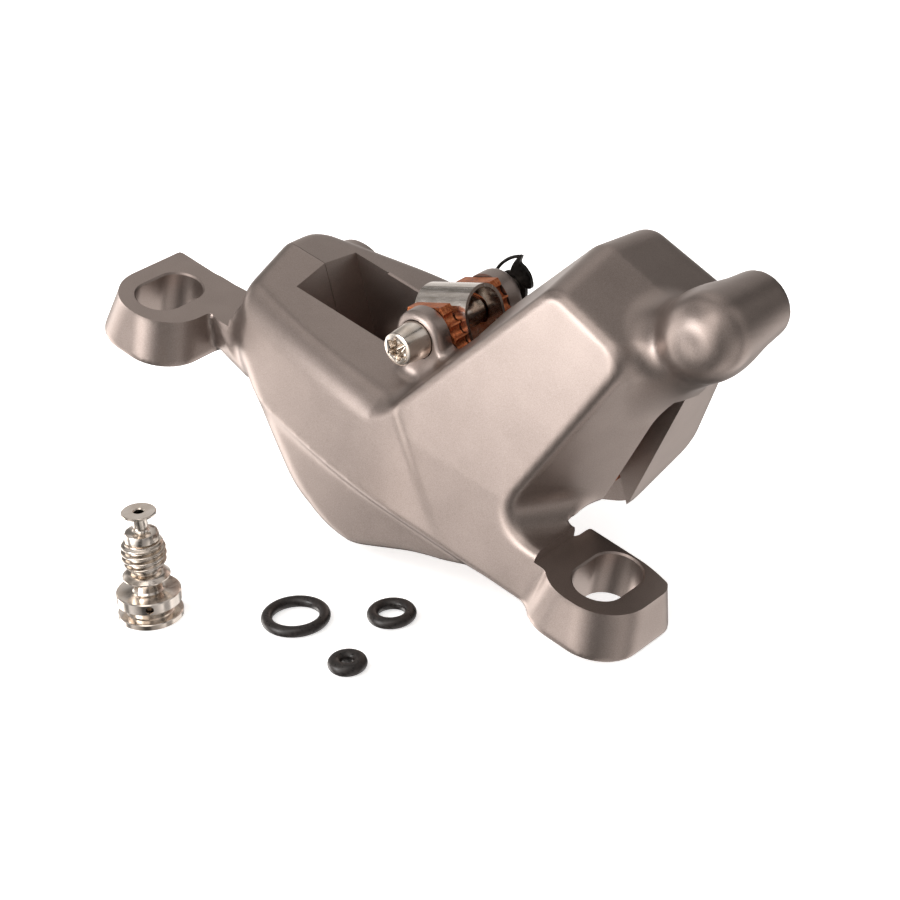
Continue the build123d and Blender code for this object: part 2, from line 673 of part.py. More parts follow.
def tab_half_width(up):
    """Half width of the tab at a height: it flares from its top down to a constant width."""
    flare = (TAB_HALF - TAB_TOP_HALF) / (TAB_TOP - TAB_FLARE_UP)
    return min(TAB_HALF, TAB_TOP_HALF + (TAB_TOP - up) * flare)


with BuildPart() as inboard_backing_plate:
    with BuildSketch(pad_plane(PLATE_FRONT_IN)) as plate_face:
        add(pad_outline())
        with BuildLine():
            Polyline(
                (PIN_ALONG - TAB_HALF, PAD_SHOULDER),
                (PIN_ALONG + TAB_HALF, PAD_SHOULDER),
                (PIN_ALONG + TAB_HALF, TAB_FLARE_UP),
                (PIN_ALONG + TAB_TOP_HALF, TAB_TOP),
                (PIN_ALONG - TAB_TOP_HALF, TAB_TOP),
                (PIN_ALONG - TAB_HALF, TAB_FLARE_UP),
                close=True,
            )
        make_face()
        scallop_pitch = (TAB_TOP - PAD_CROWN) / (TAB_SCALLOP_COUNT + 1)
        for step in range(TAB_SCALLOP_COUNT):
            up = TAB_TOP - (step + 1) * scallop_pitch
            reach = tab_half_width(up)
            with Locations((PIN_ALONG - reach, up), (PIN_ALONG + reach, up)):
                Circle(TAB_SCALLOP_RADIUS, mode=Mode.SUBTRACT)
        with Locations((PIN_ALONG, PIN_UP)):
            Circle(PIN_RADIUS + PIN_TAB_CLEARANCE, mode=Mode.SUBTRACT)
    extrude(amount=PLATE_THICKNESS)

with BuildPart() as inboard_lining:
    with BuildSketch(pad_plane(PLATE_FRONT_IN + LINING_THICKNESS)):
        add(pad_outline())
        offset(amount=-LINING_INSET, mode=Mode.REPLACE)
    extrude(amount=LINING_THICKNESS)

with BuildPart() as outboard_backing_plate:
    mirror(inboard_backing_plate.part, about=side_plane(PARTING))

with BuildPart() as outboard_lining:
    mirror(inboard_lining.part, about=side_plane(PARTING))

# Pad spring: a sheet channel over the pin, open downwards, its legs between the two tabs
with BuildPart() as pad_spring:
    along = leaned(1, 0)
    start = Plane(
        origin=(along[0] * SPRING_START, 0, along[1] * SPRING_START),
        x_dir=(0, 1, 0),
        z_dir=(along[0], 0, along[1]),
    )
    leg = PLATE_FRONT_IN + SPRING_SIDE_GAP + SPRING_THICKNESS / 2
    far_leg = 2 * PARTING - leg
    crest = SPRING_TOP - SPRING_THICKNESS / 2
    bend = (far_leg - leg) / 2
    with BuildSketch(start):
        with BuildLine():
            Line((leg, SPRING_FOOT), (leg, crest - bend))
            ThreePointArc((leg, crest - bend), (PARTING, crest), (far_leg, crest - bend))
            Line((far_leg, crest - bend), (far_leg, SPRING_FOOT))
        trace(line_width=SPRING_THICKNESS)
    extrude(amount=SPRING_END - SPRING_START)
    pin_window = disc_on(pad_plane(2 * PARTING), PIN_ALONG, PIN_UP, SPRING_HOLE_RADIUS)
    extrude(pin_window, amount=2 * PARTING, mode=Mode.SUBTRACT)

# Pad pin with a tapered head, a lobed socket and a groove for its clip
pin_x, pin_z = leaned(PIN_ALONG, PIN_UP)
with BuildPart() as pad_pin:
    pin_section = Plane(origin=(pin_x, 0, pin_z), x_dir=(0, 1, 0), z_dir=(1, 0, 0))
    groove_end = PIN_GROOVE_START + PIN_GROOVE_WIDTH
    pin_profile = [
        (-PIN_HEAD_FRONT, 0),
        (-PIN_HEAD_FRONT, PIN_FACE_RADIUS),
        (PIN_HEAD_REAR, PIN_HEAD_RADIUS),
        (PIN_HEAD_REAR, PIN_RADIUS),
        (PIN_GROOVE_START, PIN_RADIUS),
        (PIN_GROOVE_START, PIN_GROOVE_RADIUS),
        (groove_end, PIN_GROOVE_RADIUS),
        (groove_end, PIN_RADIUS),
        (PIN_TIP, PIN_RADIUS),
        (PIN_TIP, 0),
    ]
    revolve(polygon_on(pin_section, pin_profile), axis=Axis((pin_x, 0, pin_z), (0, 1, 0)))
    with BuildSketch(Plane(origin=(pin_x, -PIN_HEAD_FRONT, pin_z), z_dir=(0, -1, 0))):
        Circle(PIN_SOCKET_RADIUS - PIN_LOBE_RADIUS)
        with PolarLocations(PIN_SOCKET_RADIUS - PIN_LOBE_RADIUS, PIN_LOBE_COUNT):
            Circle(PIN_LOBE_RADIUS)
    extrude(amount=-PIN_SOCKET_DEPTH, mode=Mode.SUBTRACT)

# Spring clip that snaps into the groove at the pin's outboard end
with BuildPart() as pin_clip:
    clip_side = (PIN_GROOVE_WIDTH - CLIP_THICKNESS) / 2
    with BuildSketch(pad_plane(groove_end - clip_side)):
        with Locations((PIN_ALONG, PIN_UP)):
            Circle(CLIP_RING_RADIUS)
        with Locations((PIN_ALONG + CLIP_EAR_ALONG, PIN_UP + CLIP_EAR_UP)):
            Circle(CLIP_EAR_RADIUS)
        with BuildLine():
            ThreePointArc(
                (PIN_ALONG - CLIP_WIRE_START, PIN_UP + CLIP_WIRE_RISE - CLIP_WIRE),
                (PIN_ALONG + CLIP_WIRE_MIDDLE, PIN_UP + CLIP_WIRE_TOP),
                (PIN_ALONG + CLIP_WIRE_END, PIN_UP + CLIP_WIRE_TOP),
            )
        trace(line_width=CLIP_WIRE)
        with Locations((PIN_ALONG, PIN_UP)):
            Circle(PIN_GROOVE_RADIUS + PIN_CLEARANCE, mode=Mode.SUBTRACT)
        with Locations((PIN_ALONG, PIN_UP - CLIP_RING_RADIUS)):
            Rectangle(CLIP_MOUTH, 2 * CLIP_RING_RADIUS, mode=Mode.SUBTRACT)
    extrude(amount=CLIP_THICKNESS)


def piston(along, up, radius):
    """Cup piston of the inboard half, open towards its pad."""
    front = PLATE_BACK_IN - PAD_TO_PISTON
    back = CAVITY_FLOOR_IN - BORE_DEPTH + PISTON_BACK_GAP
    with BuildPart() as cup:
        extrude(disc_on(pad_plane(front), along, up, radius), amount=front - back)
        chamfer(cup.edges(), PISTON_CHAMFER)
        hollow = disc_on(pad_plane(front), along, up, radius - PISTON_WALL)
        extrude(hollow, amount=front - back - PISTON_CROWN, mode=Mode.SUBTRACT)
    return cup.part


def piston_seal(along, up, radius):
    """Square ring in its groove round a piston of the inboard half."""
    rear = CAVITY_FLOOR_IN - SEAL_GROOVE_INSET - SEAL_CLEARANCE
    with BuildPart() as ring:
        with BuildSketch(pad_plane(rear)):
            with Locations((along, up)):
                Circle(radius + SEAL_GROOVE_DEPTH - SEAL_CLEARANCE)
                Circle(radius + SEAL_CLEARANCE, mode=Mode.SUBTRACT)
        extrude(amount=SEAL_GROOVE_WIDTH - 2 * SEAL_CLEARANCE)
    return ring.part


def body_bolt(x, z):
    """Cap screw with a lobed socket; its head seats in the outboard half."""
    head_top = BOLT_SEAT + BOLT_HEAD_HEIGHT
    with BuildPart() as bolt:
        extrude(disc_on(side_plane(head_top), x, z, BOLT_HEAD_RADIUS), amount=BOLT_HEAD_HEIGHT)
        chamfer(bolt.edges().group_by(Axis.Y)[-1], BOLT_HEAD_BEVEL)
        extrude(disc_on(side_plane(BOLT_SEAT), x, z, BOLT_RADIUS), amount=BOLT_SEAT - BOLT_TIP)
        with BuildSketch(side_plane(head_top)):
            with Locations((x, z)):
                RegularPolygon(BOLT_SOCKET_RADIUS, BOLT_SOCKET_SIDES, major_radius=False)
        extrude(amount=BOLT_SOCKET_DEPTH, mode=Mode.SUBTRACT)
    return bolt.part


def torus_on(centre, radius, wire):
    """Round-section ring lying square to the centre plane's normal."""
    with BuildPart(centre) as ring:
        Torus(radius, wire)
    return ring.part


# Seal between the halves, in the seat round the oil crossover
x, z = leaned(CROSSOVER_ALONG, CROSSOVER_UP)
with BuildPart() as crossover_seal:
    seat_centre = Plane(origin=(x, PARTING - CROSSOVER_SEAT_DEPTH / 2, z), z_dir=(0, -1, 0))
    wire_centre = CROSSOVER_SEAT_RADIUS - CROSSOVER_SEAL_WIRE - CROSSOVER_SEAL_CLEARANCE
    add(torus_on(seat_centre, wire_centre, CROSSOVER_SEAL_WIRE))

# Bench that the caliper lies on, touching the belly's corner and the right ear's outer edge
lean = math.radians(BENCH_LEAN)
BENCH = Plane(
    origin=(RIGHT_EAR_OUTER, 0, -EAR_THICKNESS),
    x_dir=(math.cos(lean), 0, math.sin(lean)),
    z_dir=(-math.sin(lean), 0, math.cos(lean)),
)


def bench_spot(back, side, lift):
    """Plane parallel to the bench at a place on it, lifted by a height."""
    return Plane(origin=BENCH.from_local_coords((-back, -side, lift)), x_dir=BENCH.x_dir, z_dir=BENCH.z_dir)


def loose_seal(back, side, radius, wire):
    """Seal lying flat on the bench."""
    return torus_on(bench_spot(back, side, wire), radius, wire)


with BuildPart() as large_bleed_seal:
    add(loose_seal(LARGE_SEAL_BACK, LARGE_SEAL_SIDE, LARGE_SEAL_RADIUS, LARGE_SEAL_WIRE))

with BuildPart() as medium_bleed_seal:
    add(loose_seal(MEDIUM_SEAL_BACK, MEDIUM_SEAL_SIDE, MEDIUM_SEAL_RADIUS, MEDIUM_SEAL_WIRE))

with BuildPart() as small_bleed_seal:
    add(loose_seal(SMALL_SEAL_BACK, SMALL_SEAL_SIDE, SMALL_SEAL_RADIUS, SMALL_SEAL_WIRE))


def stacked(sections):
    """Outline, from the axis out, of round sections stacked from the base up, each (radius, height)."""
    points = [(0, 0)]
    level = 0
    for radius, height in sections:
        points.append((radius, level))
        level += height
        points.append((radius, level))
    return points + [(0, level)]


# Bleed screw standing on its base: seal grooves, flange, thread and tip disc
with BuildPart() as bleed_screw:
    base = bench_spot(SCREW_BACK, SCREW_SIDE, 0)
    crest = (SCREW_THREAD_RADIUS, SCREW_THREAD_PITCH / 2)
    root = (SCREW_ROOT_RADIUS, SCREW_THREAD_PITCH / 2)
    sections = [
        (SCREW_BASE_RADIUS, SCREW_BASE_HEIGHT),
        (SCREW_GROOVE_RADIUS, SCREW_GROOVE_HEIGHT),
        (SCREW_DISC_RADIUS, SCREW_DISC_HEIGHT),
        (SCREW_WAIST_RADIUS, SCREW_WAIST_HEIGHT),
        (SCREW_FLANGE_RADIUS, SCREW_FLANGE_HEIGHT),
        (SCREW_RELIEF_RADIUS, SCREW_RELIEF_HEIGHT),
        *[crest, root] * (SCREW_CREST_COUNT - 1),
        crest,
        (SCREW_COLLAR_RADIUS, SCREW_COLLAR_HEIGHT),
        (SCREW_NECK_RADIUS, SCREW_NECK_HEIGHT),
        (SCREW_TIP_RADIUS, SCREW_TIP_HEIGHT),
    ]
    screw_section = Plane(origin=base.origin, x_dir=base.x_dir, z_dir=-base.y_dir)
    revolve(polygon_on(screw_section, stacked(sections)), axis=Axis(base.origin, base.z_dir))
    screw_height = sum(height for radius, height in sections)
    tip = bench_spot(SCREW_BACK, SCREW_SIDE, screw_height)
    extrude(disc_on(tip, 0, 0, SCREW_BORE_RADIUS), amount=-SCREW_BORE_DEPTH, mode=Mode.SUBTRACT)
    hole_height = SCREW_BASE_HEIGHT + SCREW_GROOVE_HEIGHT + SCREW_DISC_HEIGHT / 2
    across = bench_spot(SCREW_BACK, SCREW_SIDE, hole_height)
    cross_plane = Plane(origin=across.origin, x_dir=across.y_dir, z_dir=across.x_dir)
    extrude(disc_on(cross_plane, 0, 0, SCREW_CROSS_HOLE), amount=SCREW_BASE_RADIUS, mode=Mode.SUBTRACT)


def finish(piece, name):
    """Label a piece and write its file."""
    piece.part.label = name
    export_step(piece.part, f"parts/{name}.step")


os.makedirs("parts", exist_ok=True)
finish(inboard_half, "inboard_half")
finish(outboard_half, "outboard_half")
finish(inboard_backing_plate, "inboard_backing_plate")
finish(outboard_backing_plate, "outboard_backing_plate")
finish(inboard_lining, "inboard_lining")
finish(outboard_lining, "outboard_lining")
finish(pad_spring, "pad_spring")
finish(pad_pin, "pad_pin")
finish(pin_clip, "pin_clip")
finish(crossover_seal, "crossover_seal")
finish(bleed_screw, "bleed_screw")
finish(large_bleed_seal, "large_bleed_seal")
finish(medium_bleed_seal, "medium_bleed_seal")
finish(small_bleed_seal, "small_bleed_seal")

for (x, z), side in zip(bolt_places(), ("left", "right")):
    with BuildPart() as bolt_piece:
        add(body_bolt(x, z))
    finish(bolt_piece, f"body_bolt_{side}")

for place, end in zip(bore_places(), ("leading", "trailing")):
    with BuildPart() as inboard_piston:
        add(piston(*place))
    finish(inboard_piston, f"inboard_piston_{end}")
    with BuildPart() as inboard_seal:
        add(piston_seal(*place))
    finish(inboard_seal, f"inboard_seal_{end}")
    with BuildPart() as outboard_piston:
        mirror(inboard_piston.part, about=side_plane(PARTING))
    finish(outboard_piston, f"outboard_piston_{end}")
    with BuildPart() as outboard_seal:
        mirror(inboard_seal.part, about=side_plane(PARTING))
    finish(outboard_seal, f"outboard_seal_{end}")
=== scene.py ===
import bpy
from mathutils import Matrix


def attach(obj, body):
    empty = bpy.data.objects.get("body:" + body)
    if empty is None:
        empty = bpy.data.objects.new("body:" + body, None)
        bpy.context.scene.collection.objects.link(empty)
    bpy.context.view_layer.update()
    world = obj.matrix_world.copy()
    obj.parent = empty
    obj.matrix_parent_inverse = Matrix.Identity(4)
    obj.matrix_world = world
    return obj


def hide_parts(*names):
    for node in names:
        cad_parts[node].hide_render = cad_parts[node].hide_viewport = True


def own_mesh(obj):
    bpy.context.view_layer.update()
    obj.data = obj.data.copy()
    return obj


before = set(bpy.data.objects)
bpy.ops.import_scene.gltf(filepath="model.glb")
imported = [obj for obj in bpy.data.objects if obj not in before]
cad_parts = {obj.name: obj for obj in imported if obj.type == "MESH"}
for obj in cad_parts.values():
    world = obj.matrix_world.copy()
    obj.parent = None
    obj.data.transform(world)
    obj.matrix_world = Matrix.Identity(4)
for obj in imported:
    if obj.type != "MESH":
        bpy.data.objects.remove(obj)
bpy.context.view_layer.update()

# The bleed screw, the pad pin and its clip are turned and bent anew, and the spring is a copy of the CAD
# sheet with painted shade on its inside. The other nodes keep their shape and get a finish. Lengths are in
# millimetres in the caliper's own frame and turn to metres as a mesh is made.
"""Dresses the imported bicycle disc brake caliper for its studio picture.

The two cast halves are rebuilt as one soft casting that is then cut where the real one is machined.
The bleed screw, the pad pin and its clip are turned and bent anew, and the spring is a copy of the CAD
sheet with a dark inside. The other nodes keep their shape and get a finish. Lengths are in millimetres
in the caliper's own frame and turn to metres as a mesh is made.
"""

import logging
import math
from dataclasses import dataclass, field
from enum import Enum, IntEnum
from typing import Callable, Iterable, Sequence

import bmesh
import bpy
import numpy as np
from mathutils import Matrix, Vector

log = logging.getLogger("caliper")

MM = 0.001
HOUSING = "housing"  # Every rebuilt piece rides on this body
OPEN = math.inf  # Leaves a side of a box open

Point = tuple[float, float, float]
Span = tuple[float, float]
Pair = tuple[Point, Point]
Stops = tuple[tuple[float, str], ...]
Grid = Sequence[np.ndarray]
Tree = bpy.types.NodeTree
Socket = bpy.types.NodeSocket


class Cut(Enum):
    """Ways to combine two closed meshes."""

    TAKE_AWAY = "DIFFERENCE"
    JOIN = "UNION"


class Surface(IntEnum):
    """Material slot numbers of the casting."""

    BLASTED = 0
    MILLED = 1
    SHADED = 2


# Mesh helpers


def new_object(name: str, mesh: bpy.types.Mesh) -> bpy.types.Object:
    """Put a mesh in the scene.

    Args:
        name: Name of the object.
        mesh: Its mesh.

    Returns:
        The new object.
    """
    obj = bpy.data.objects.new(name, mesh)
    bpy.context.collection.objects.link(obj)
    return obj


def mesh_of(name: str, points: Iterable[Point], faces: Iterable[Sequence[int]]) -> bpy.types.Object:
    """Make an object from points in millimetres and faces.

    Args:
        name: Name of the object.
        points: Corner points.
        faces: Corner numbers of each face, counter-clockwise from outside.

    Returns:
        The new object.
    """
    mesh = bpy.data.meshes.new(name)
    mesh.from_pydata([tuple(c * MM for c in p) for p in points], [], [tuple(f) for f in faces])
    mesh.update()
    return new_object(name, mesh)


def object_from(name: str, work: bmesh.types.BMesh) -> bpy.types.Object:
    """Turn a working mesh into an object and free it.

    Args:
        name: Name of the object.
        work: The working mesh.

    Returns:
        The new object.
    """
    mesh = bpy.data.meshes.new(name)
    work.to_mesh(mesh)
    work.free()
    return new_object(name, mesh)


def hull(name: str, points: Iterable[Point]) -> bpy.types.Object:
    """Make the convex solid round some points.

    Args:
        name: Name of the object.
        points: Points in millimetres.

    Returns:
        The new closed object.
    """
    work = bmesh.new()
    for p in points:
        work.verts.new([c * MM for c in p])
    made = bmesh.ops.convex_hull(work, input=work.verts)
    loose = [v for v in made["geom_interior"] if isinstance(v, bmesh.types.BMVert)]
    bmesh.ops.delete(work, geom=loose, context="VERTS")
    bmesh.ops.recalc_face_normals(work, faces=work.faces)
    return object_from(name, work)


def copy_of(cad_node: bpy.types.Object, name: str) -> bpy.types.Object:
    """Copy a node's mesh as a closed mesh of its own.

    Args:
        cad_node: The node's object, which stays as it is.
        name: Name of the copy.

    Returns:
        The new object.
    """
    work = bmesh.new()
    work.from_mesh(cad_node.data)
    bmesh.ops.remove_doubles(work, verts=work.verts, dist=1e-6)
    bmesh.ops.recalc_face_normals(work, faces=work.faces)
    return object_from(name, work)


def apply(obj: bpy.types.Object, kind: str, **settings: object) -> None:
    """Run one modifier on an object and keep its result as the object's mesh.

    Args:
        obj: Object to change.
        kind: Blender's name for the modifier.
        **settings: Values of the modifier's properties.
    """
    modifier = obj.modifiers.new(kind, kind)
    for key, value in settings.items():
        setattr(modifier, key, value)
    graph = bpy.context.evaluated_depsgraph_get()
    mesh = bpy.data.meshes.new_from_object(obj.evaluated_get(graph))
    obj.modifiers.clear()
    obj.data = mesh


def combine(obj: bpy.types.Object, tool: bpy.types.Object, cut: Cut) -> None:
    """Combine an object with a closed tool mesh, which is used up.

    Args:
        obj: Object to change.
        tool: The other mesh.
        cut: What is kept.
    """
    apply(obj, "BOOLEAN", object=tool, operation=cut.value, solver="MANIFOLD")
    bpy.data.objects.remove(tool)


def paint_faces(obj: bpy.types.Object, index: int) -> None:
    """Give every face of an object one material slot number."""
    obj.data.polygons.foreach_set("material_index", [index] * len(obj.data.polygons))


def smooth_shade(obj: bpy.types.Object, sharp_degrees: float) -> None:
    """Shade an object smooth, with edges over an angle left sharp.

    Args:
        obj: Object to change.
        sharp_degrees: The angle.
    """
    obj.data.polygons.foreach_set("use_smooth", [True] * len(obj.data.polygons))
    obj.data.set_sharp_from_angle(angle=math.radians(sharp_degrees))
    obj.data.update()


def round_points(centre: Span, radius: float, steps: int = 64) -> list[Span]:
    """Points on a circle.

    Args:
        centre: Its centre.
        radius: Its radius.
        steps: How many points.

    Returns:
        The points, counter-clockwise.
    """
    turns = [2 * math.pi * i / steps for i in range(steps)]
    return [(centre[0] + radius * math.cos(t), centre[1] + radius * math.sin(t)) for t in turns]


@dataclass(frozen=True)
class PadFrame:
    """Directions of the pads, along a pad and up square to it, and the pad pin's place in them."""

    lean_degrees: float = 27.5
    pin: Span = (7.4, 10.6)

    def place(self, along: float, up: float, y: float) -> Point:
        """Turn a place in the pads' directions into a point in the caliper's frame.

        Args:
            along: Distance along the pads.
            up: Distance up from the hub.
            y: Y of the point.

        Returns:
            X, Y and Z.
        """
        turn = math.radians(self.lean_degrees)
        return (
            along * math.cos(turn) - up * math.sin(turn),
            y,
            along * math.sin(turn) + up * math.cos(turn),
        )

    def split(self, x: np.ndarray, z: np.ndarray) -> tuple[np.ndarray, np.ndarray]:
        """Along and up of points given by X and Z."""
        turn = math.radians(self.lean_degrees)
        return x * math.cos(turn) + z * math.sin(turn), z * math.cos(turn) - x * math.sin(turn)

    def block(self, name: str, along: Span, up: Span, y: Span) -> bpy.types.Object:
        """Make a box in the pads' directions.

        Args:
            name: Name of the object.
            along: Lowest and highest place along the pads.
            up: Lowest and highest place up from the hub.
            y: Lowest and highest Y.

        Returns:
            The new closed object.
        """
        return hull(name, [self.place(a, u, side) for a in along for u in up for side in y])

    def drum(self, name: str, spot: Span, radius: float, y: Span) -> bpy.types.Object:
        """Make a round bar along Y at a place in the pads' directions.

        Args:
            name: Name of the object.
            spot: Along and up of its axis.
            radius: Its radius.
            y: Where it starts and ends.

        Returns:
            The new closed object.
        """
        circle = round_points(spot, radius)
        return hull(name, [self.place(a, u, side) for a, u in circle for side in y])


PADS = PadFrame()


# Signed fields: below zero inside a solid, about a distance in millimetres near its skin


def convex(radius: float | np.ndarray, *solids: np.ndarray) -> np.ndarray:
    """Take what several solids share, with the edges between them rounded.

    Args:
        radius: Radius of the edges.
        *solids: Field of each solid.

    Returns:
        The field of what they share.
    """
    over = sum(np.maximum(solid + radius, 0.0) ** 2 for solid in solids)
    return np.minimum(-radius, np.maximum.reduce(solids)) + np.sqrt(over)


def blended(radius: float, *solids: np.ndarray) -> np.ndarray:
    """Several solids together, with the hollows between them filled to a radius."""
    return -convex(radius, *[-solid for solid in solids])


def eased(value: np.ndarray, start: float, length: float) -> np.ndarray:
    """Rise from 0 where a value is at a start to 1 where it is a length further."""
    return np.clip((value - start) / length, 0, 1)


def box(at: Grid, low: Point, high: Point) -> list[np.ndarray]:
    """Fields of a box's six sides, of which an infinite one is left open."""
    return [low[k] - at[k] for k in range(3)] + [at[k] - high[k] for k in range(3)]


def polar(degrees: float) -> Point:
    """Direction in the XZ plane, turned from +X towards +Z."""
    return (math.cos(math.radians(degrees)), 0.0, math.sin(math.radians(degrees)))


def flat(at: Grid, origin: Point, way: Point) -> np.ndarray:
    """Solid behind a plane.

    Args:
        at: X, Y and Z of the points.
        origin: A point on the plane.
        way: Direction that the plane faces, of any length.

    Returns:
        The field at each point.
    """
    size = math.sqrt(sum(c * c for c in way))
    return sum((at[k] - origin[k]) * (way[k] / size) for k in range(3))


def rod(at: Grid, start: Point, stop: Point, radius: float) -> np.ndarray:
    """Round bar with ball ends.

    Args:
        at: X, Y and Z of the points.
        start: Centre of one ball.
        stop: Centre of the other ball.
        radius: Radius of the bar.

    Returns:
        The field at each point.
    """
    run = np.subtract(stop, start)
    share = np.clip(sum((at[k] - start[k]) * run[k] for k in range(3)) / (run @ run), 0, 1)
    gap = np.sqrt(sum((at[k] - start[k] - run[k] * share) ** 2 for k in range(3)))
    return gap - radius


def skin_of(name: str, field_at: Callable, low: Point, high: Point, step: float) -> bpy.types.Object:
    """Closed mesh where a field is zero: one point in each grid cell that the skin passes through.

    Args:
        name: Name of the object.
        field_at: Gives the field at X, Y and Z.
        low: Lowest corner of the grid.
        high: Highest corner of the grid.
        step: Size of a cell.

    Returns:
        The new object.
    """
    axes = [np.arange(a, b + step, step) for a, b in zip(low, high)]
    values = field_at(np.meshgrid(*axes, indexing="ij"))
    cells = tuple(n - 1 for n in values.shape)
    total, count = np.zeros(cells + (3,)), np.zeros(cells)
    found = []
    for axis in range(3):
        near = values[tuple(slice(0, -1) if k == axis else slice(None) for k in range(3))]
        far = values[tuple(slice(1, None) if k == axis else slice(None) for k in range(3))]
        hits = np.argwhere((near < 0) != (far < 0))
        start, stop = near[tuple(hits.T)], far[tuple(hits.T)]
        places = hits.astype(float)
        places[:, axis] += start / (start - stop)
        first, second = [k for k in range(3) if k != axis]
        around = []
        for back_first, back_second in ((0, 0), (1, 0), (1, 1), (0, 1)):
            cell = hits.copy()
            cell[:, first] -= back_first
            cell[:, second] -= back_second
            around.append(cell)
            np.add.at(total, tuple(cell.T), places)
            np.add.at(count, tuple(cell.T), 1)
        outward = (start < 0) if axis != 1 else (start >= 0)
        found.append((np.stack(around, 1), outward))
    used = np.argwhere(count > 0)
    number = np.full(cells, -1)
    number[tuple(used.T)] = np.arange(len(used))
    points = total[tuple(used.T)] / count[tuple(used.T)][:, None] * step + np.array(low)
    faces = []
    for around, outward in found:
        corners = number[around[..., 0], around[..., 1], around[..., 2]]
        corners[~outward] = corners[~outward][:, ::-1]
        faces.append(corners)
    nudge, least_slope, furthest = 0.01, 0.2, 0.3
    for _ in range(2):
        here = field_at(points.T)
        ahead = [field_at((points + way * nudge).T) for way in np.eye(3)]
        slope = np.stack([(there - here) / nudge for there in ahead], 1)
        move = np.clip(here / np.maximum((slope**2).sum(1), least_slope), -furthest, furthest)
        points = points - move[:, None] * slope
    return mesh_of(name, points.tolist(), np.concatenate(faces).tolist())


# Turned and drawn forms


def ring_faces(rings: int, sides: int) -> list[tuple[int, ...]]:
    """Faces of a closed body made of rings of points, with a flat cap at each end.

    Args:
        rings: How many rings.
        sides: Points in a ring, counter-clockwise as seen from the last ring.

    Returns:
        Corner numbers of each face, counter-clockwise from outside.
    """
    last = (rings - 1) * sides
    faces = [tuple(range(sides))[::-1], tuple(range(last, last + sides))]
    for start in range(0, last, sides):
        for k in range(sides):
            after = (k + 1) % sides
            faces.append((start + k, start + after, start + sides + after, start + sides + k))
    return faces


def lathe(
    name: str,
    base: Point,
    way: Point,
    stations: Sequence[Span],
    thread: Callable[[float, float], float] | None = None,
) -> bpy.types.Object:
    """Closed turned body.

    Args:
        name: Name of the object.
        base: Where its axis starts.
        way: Direction of its axis.
        stations: Height along the axis and radius of each ring.
        thread: Gives what a ring's radius grows by, from its height and the turn in radians.

    Returns:
        The new object.
    """
    sides = 96
    axis = Vector(way).normalized()
    first = axis.orthogonal().normalized()
    second = axis.cross(first)
    points = []
    for height, radius in stations:
        for k in range(sides):
            turn = math.tau * k / sides
            reach = radius + (thread(height, turn) if thread else 0.0)
            out = first * math.cos(turn) + second * math.sin(turn)
            points.append(tuple(Vector(base) + axis * height + out * reach))
    return mesh_of(name, points, ring_faces(len(stations), sides))


def tube(name: str, path: Sequence[Point], radius: float) -> bpy.types.Object:
    """Closed round wire in a plane square to Y.

    Args:
        name: Name of the object.
        path: Points along the middle of the wire.
        radius: Radius of the wire.

    Returns:
        The new object.
    """
    sides = 16
    points = []
    spots = [Vector(p) for p in path]
    side = Vector((0.0, 1.0, 0.0))
    for k, spot in enumerate(spots):
        along = (spots[min(k + 1, len(spots) - 1)] - spots[max(k - 1, 0)]).normalized()
        other = along.cross(side).normalized()
        for step in range(sides):
            turn = math.tau * step / sides
            points.append(tuple(spot + (side * math.cos(turn) + other * math.sin(turn)) * radius))
    return mesh_of(name, points, [face[::-1] for face in ring_faces(len(spots), sides)])


def curved(points: Sequence[Span], steps: int = 10) -> list[Span]:
    """Smooth line through points of a plane, by Catmull and Rom's rule.

    Args:
        points: The points.
        steps: Parts from one point to the next.

    Returns:
        Points along the line.
    """
    ends = [np.array(p, float) for p in points]
    ends = [2 * ends[0] - ends[1]] + ends + [2 * ends[-1] - ends[-2]]
    line = []
    for a, b, c, d in zip(ends, ends[1:], ends[2:], ends[3:]):
        bend = 2 * a - 5 * b + 4 * c - d
        twist = 3 * b - 3 * c + d - a
        for t in np.linspace(0, 1, steps, endpoint=False):
            line.append(tuple(0.5 * (2 * b + (c - a) * t + bend * t**2 + twist * t**3)))
    return line + [tuple(ends[-2])]


def stand_in(
    obj: bpy.types.Object,
    replaced: str,
    finishes: Sequence[bpy.types.Material],
    sharp: float = 35.0,
) -> None:
    """Let an object stand for a CAD node that belongs to the housing.

    Args:
        obj: The object.
        replaced: Name of the node.
        finishes: Materials in the order of the faces' slot numbers.
        sharp: Angle in degrees over which an edge stays sharp.
    """
    obj.data.materials.clear()
    for finish in finishes:
        obj.data.materials.append(finish)
    smooth_shade(obj, sharp)
    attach(obj, HOUSING)
    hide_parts(replaced)
    log.info("%s: %d faces", obj.name, len(obj.data.polygons))


# Node helpers for materials


def linear(hex_colour: str) -> tuple[float, float, float, float]:
    """Turn an sRGB hex colour into linear RGBA.

    Args:
        hex_colour: Six hex digits after a hash sign.

    Returns:
        Red, green, blue and alpha.
    """
    parts = [int(hex_colour[i : i + 2], 16) / 255 for i in (1, 3, 5)]
    return tuple(c / 12.92 if c <= 0.04045 else ((c + 0.055) / 1.055) ** 2.4 for c in parts) + (1.0,)


def node(tree: Tree, kind: str, settings: dict | None = None, **links: object) -> bpy.types.Node:
    """Add a node with its settings and its inputs.

    Args:
        tree: Tree to add to.
        kind: Blender's name for the node.
        settings: Values of the node's own properties.
        **links: Value or output socket for each input, by name with underscores or as i0, i1.

    Returns:
        The new node.
    """
    made = tree.nodes.new(kind)
    for key, value in (settings or {}).items():
        setattr(made, key, value)
    for key, value in links.items():
        number = key[1:] if key[0] == "i" and key[1:].isdigit() else None
        socket = made.inputs[key.replace("_", " ") if number is None else int(number)]
        if isinstance(value, Socket):
            tree.links.new(value, socket)
        else:
            socket.default_value = value
    return made


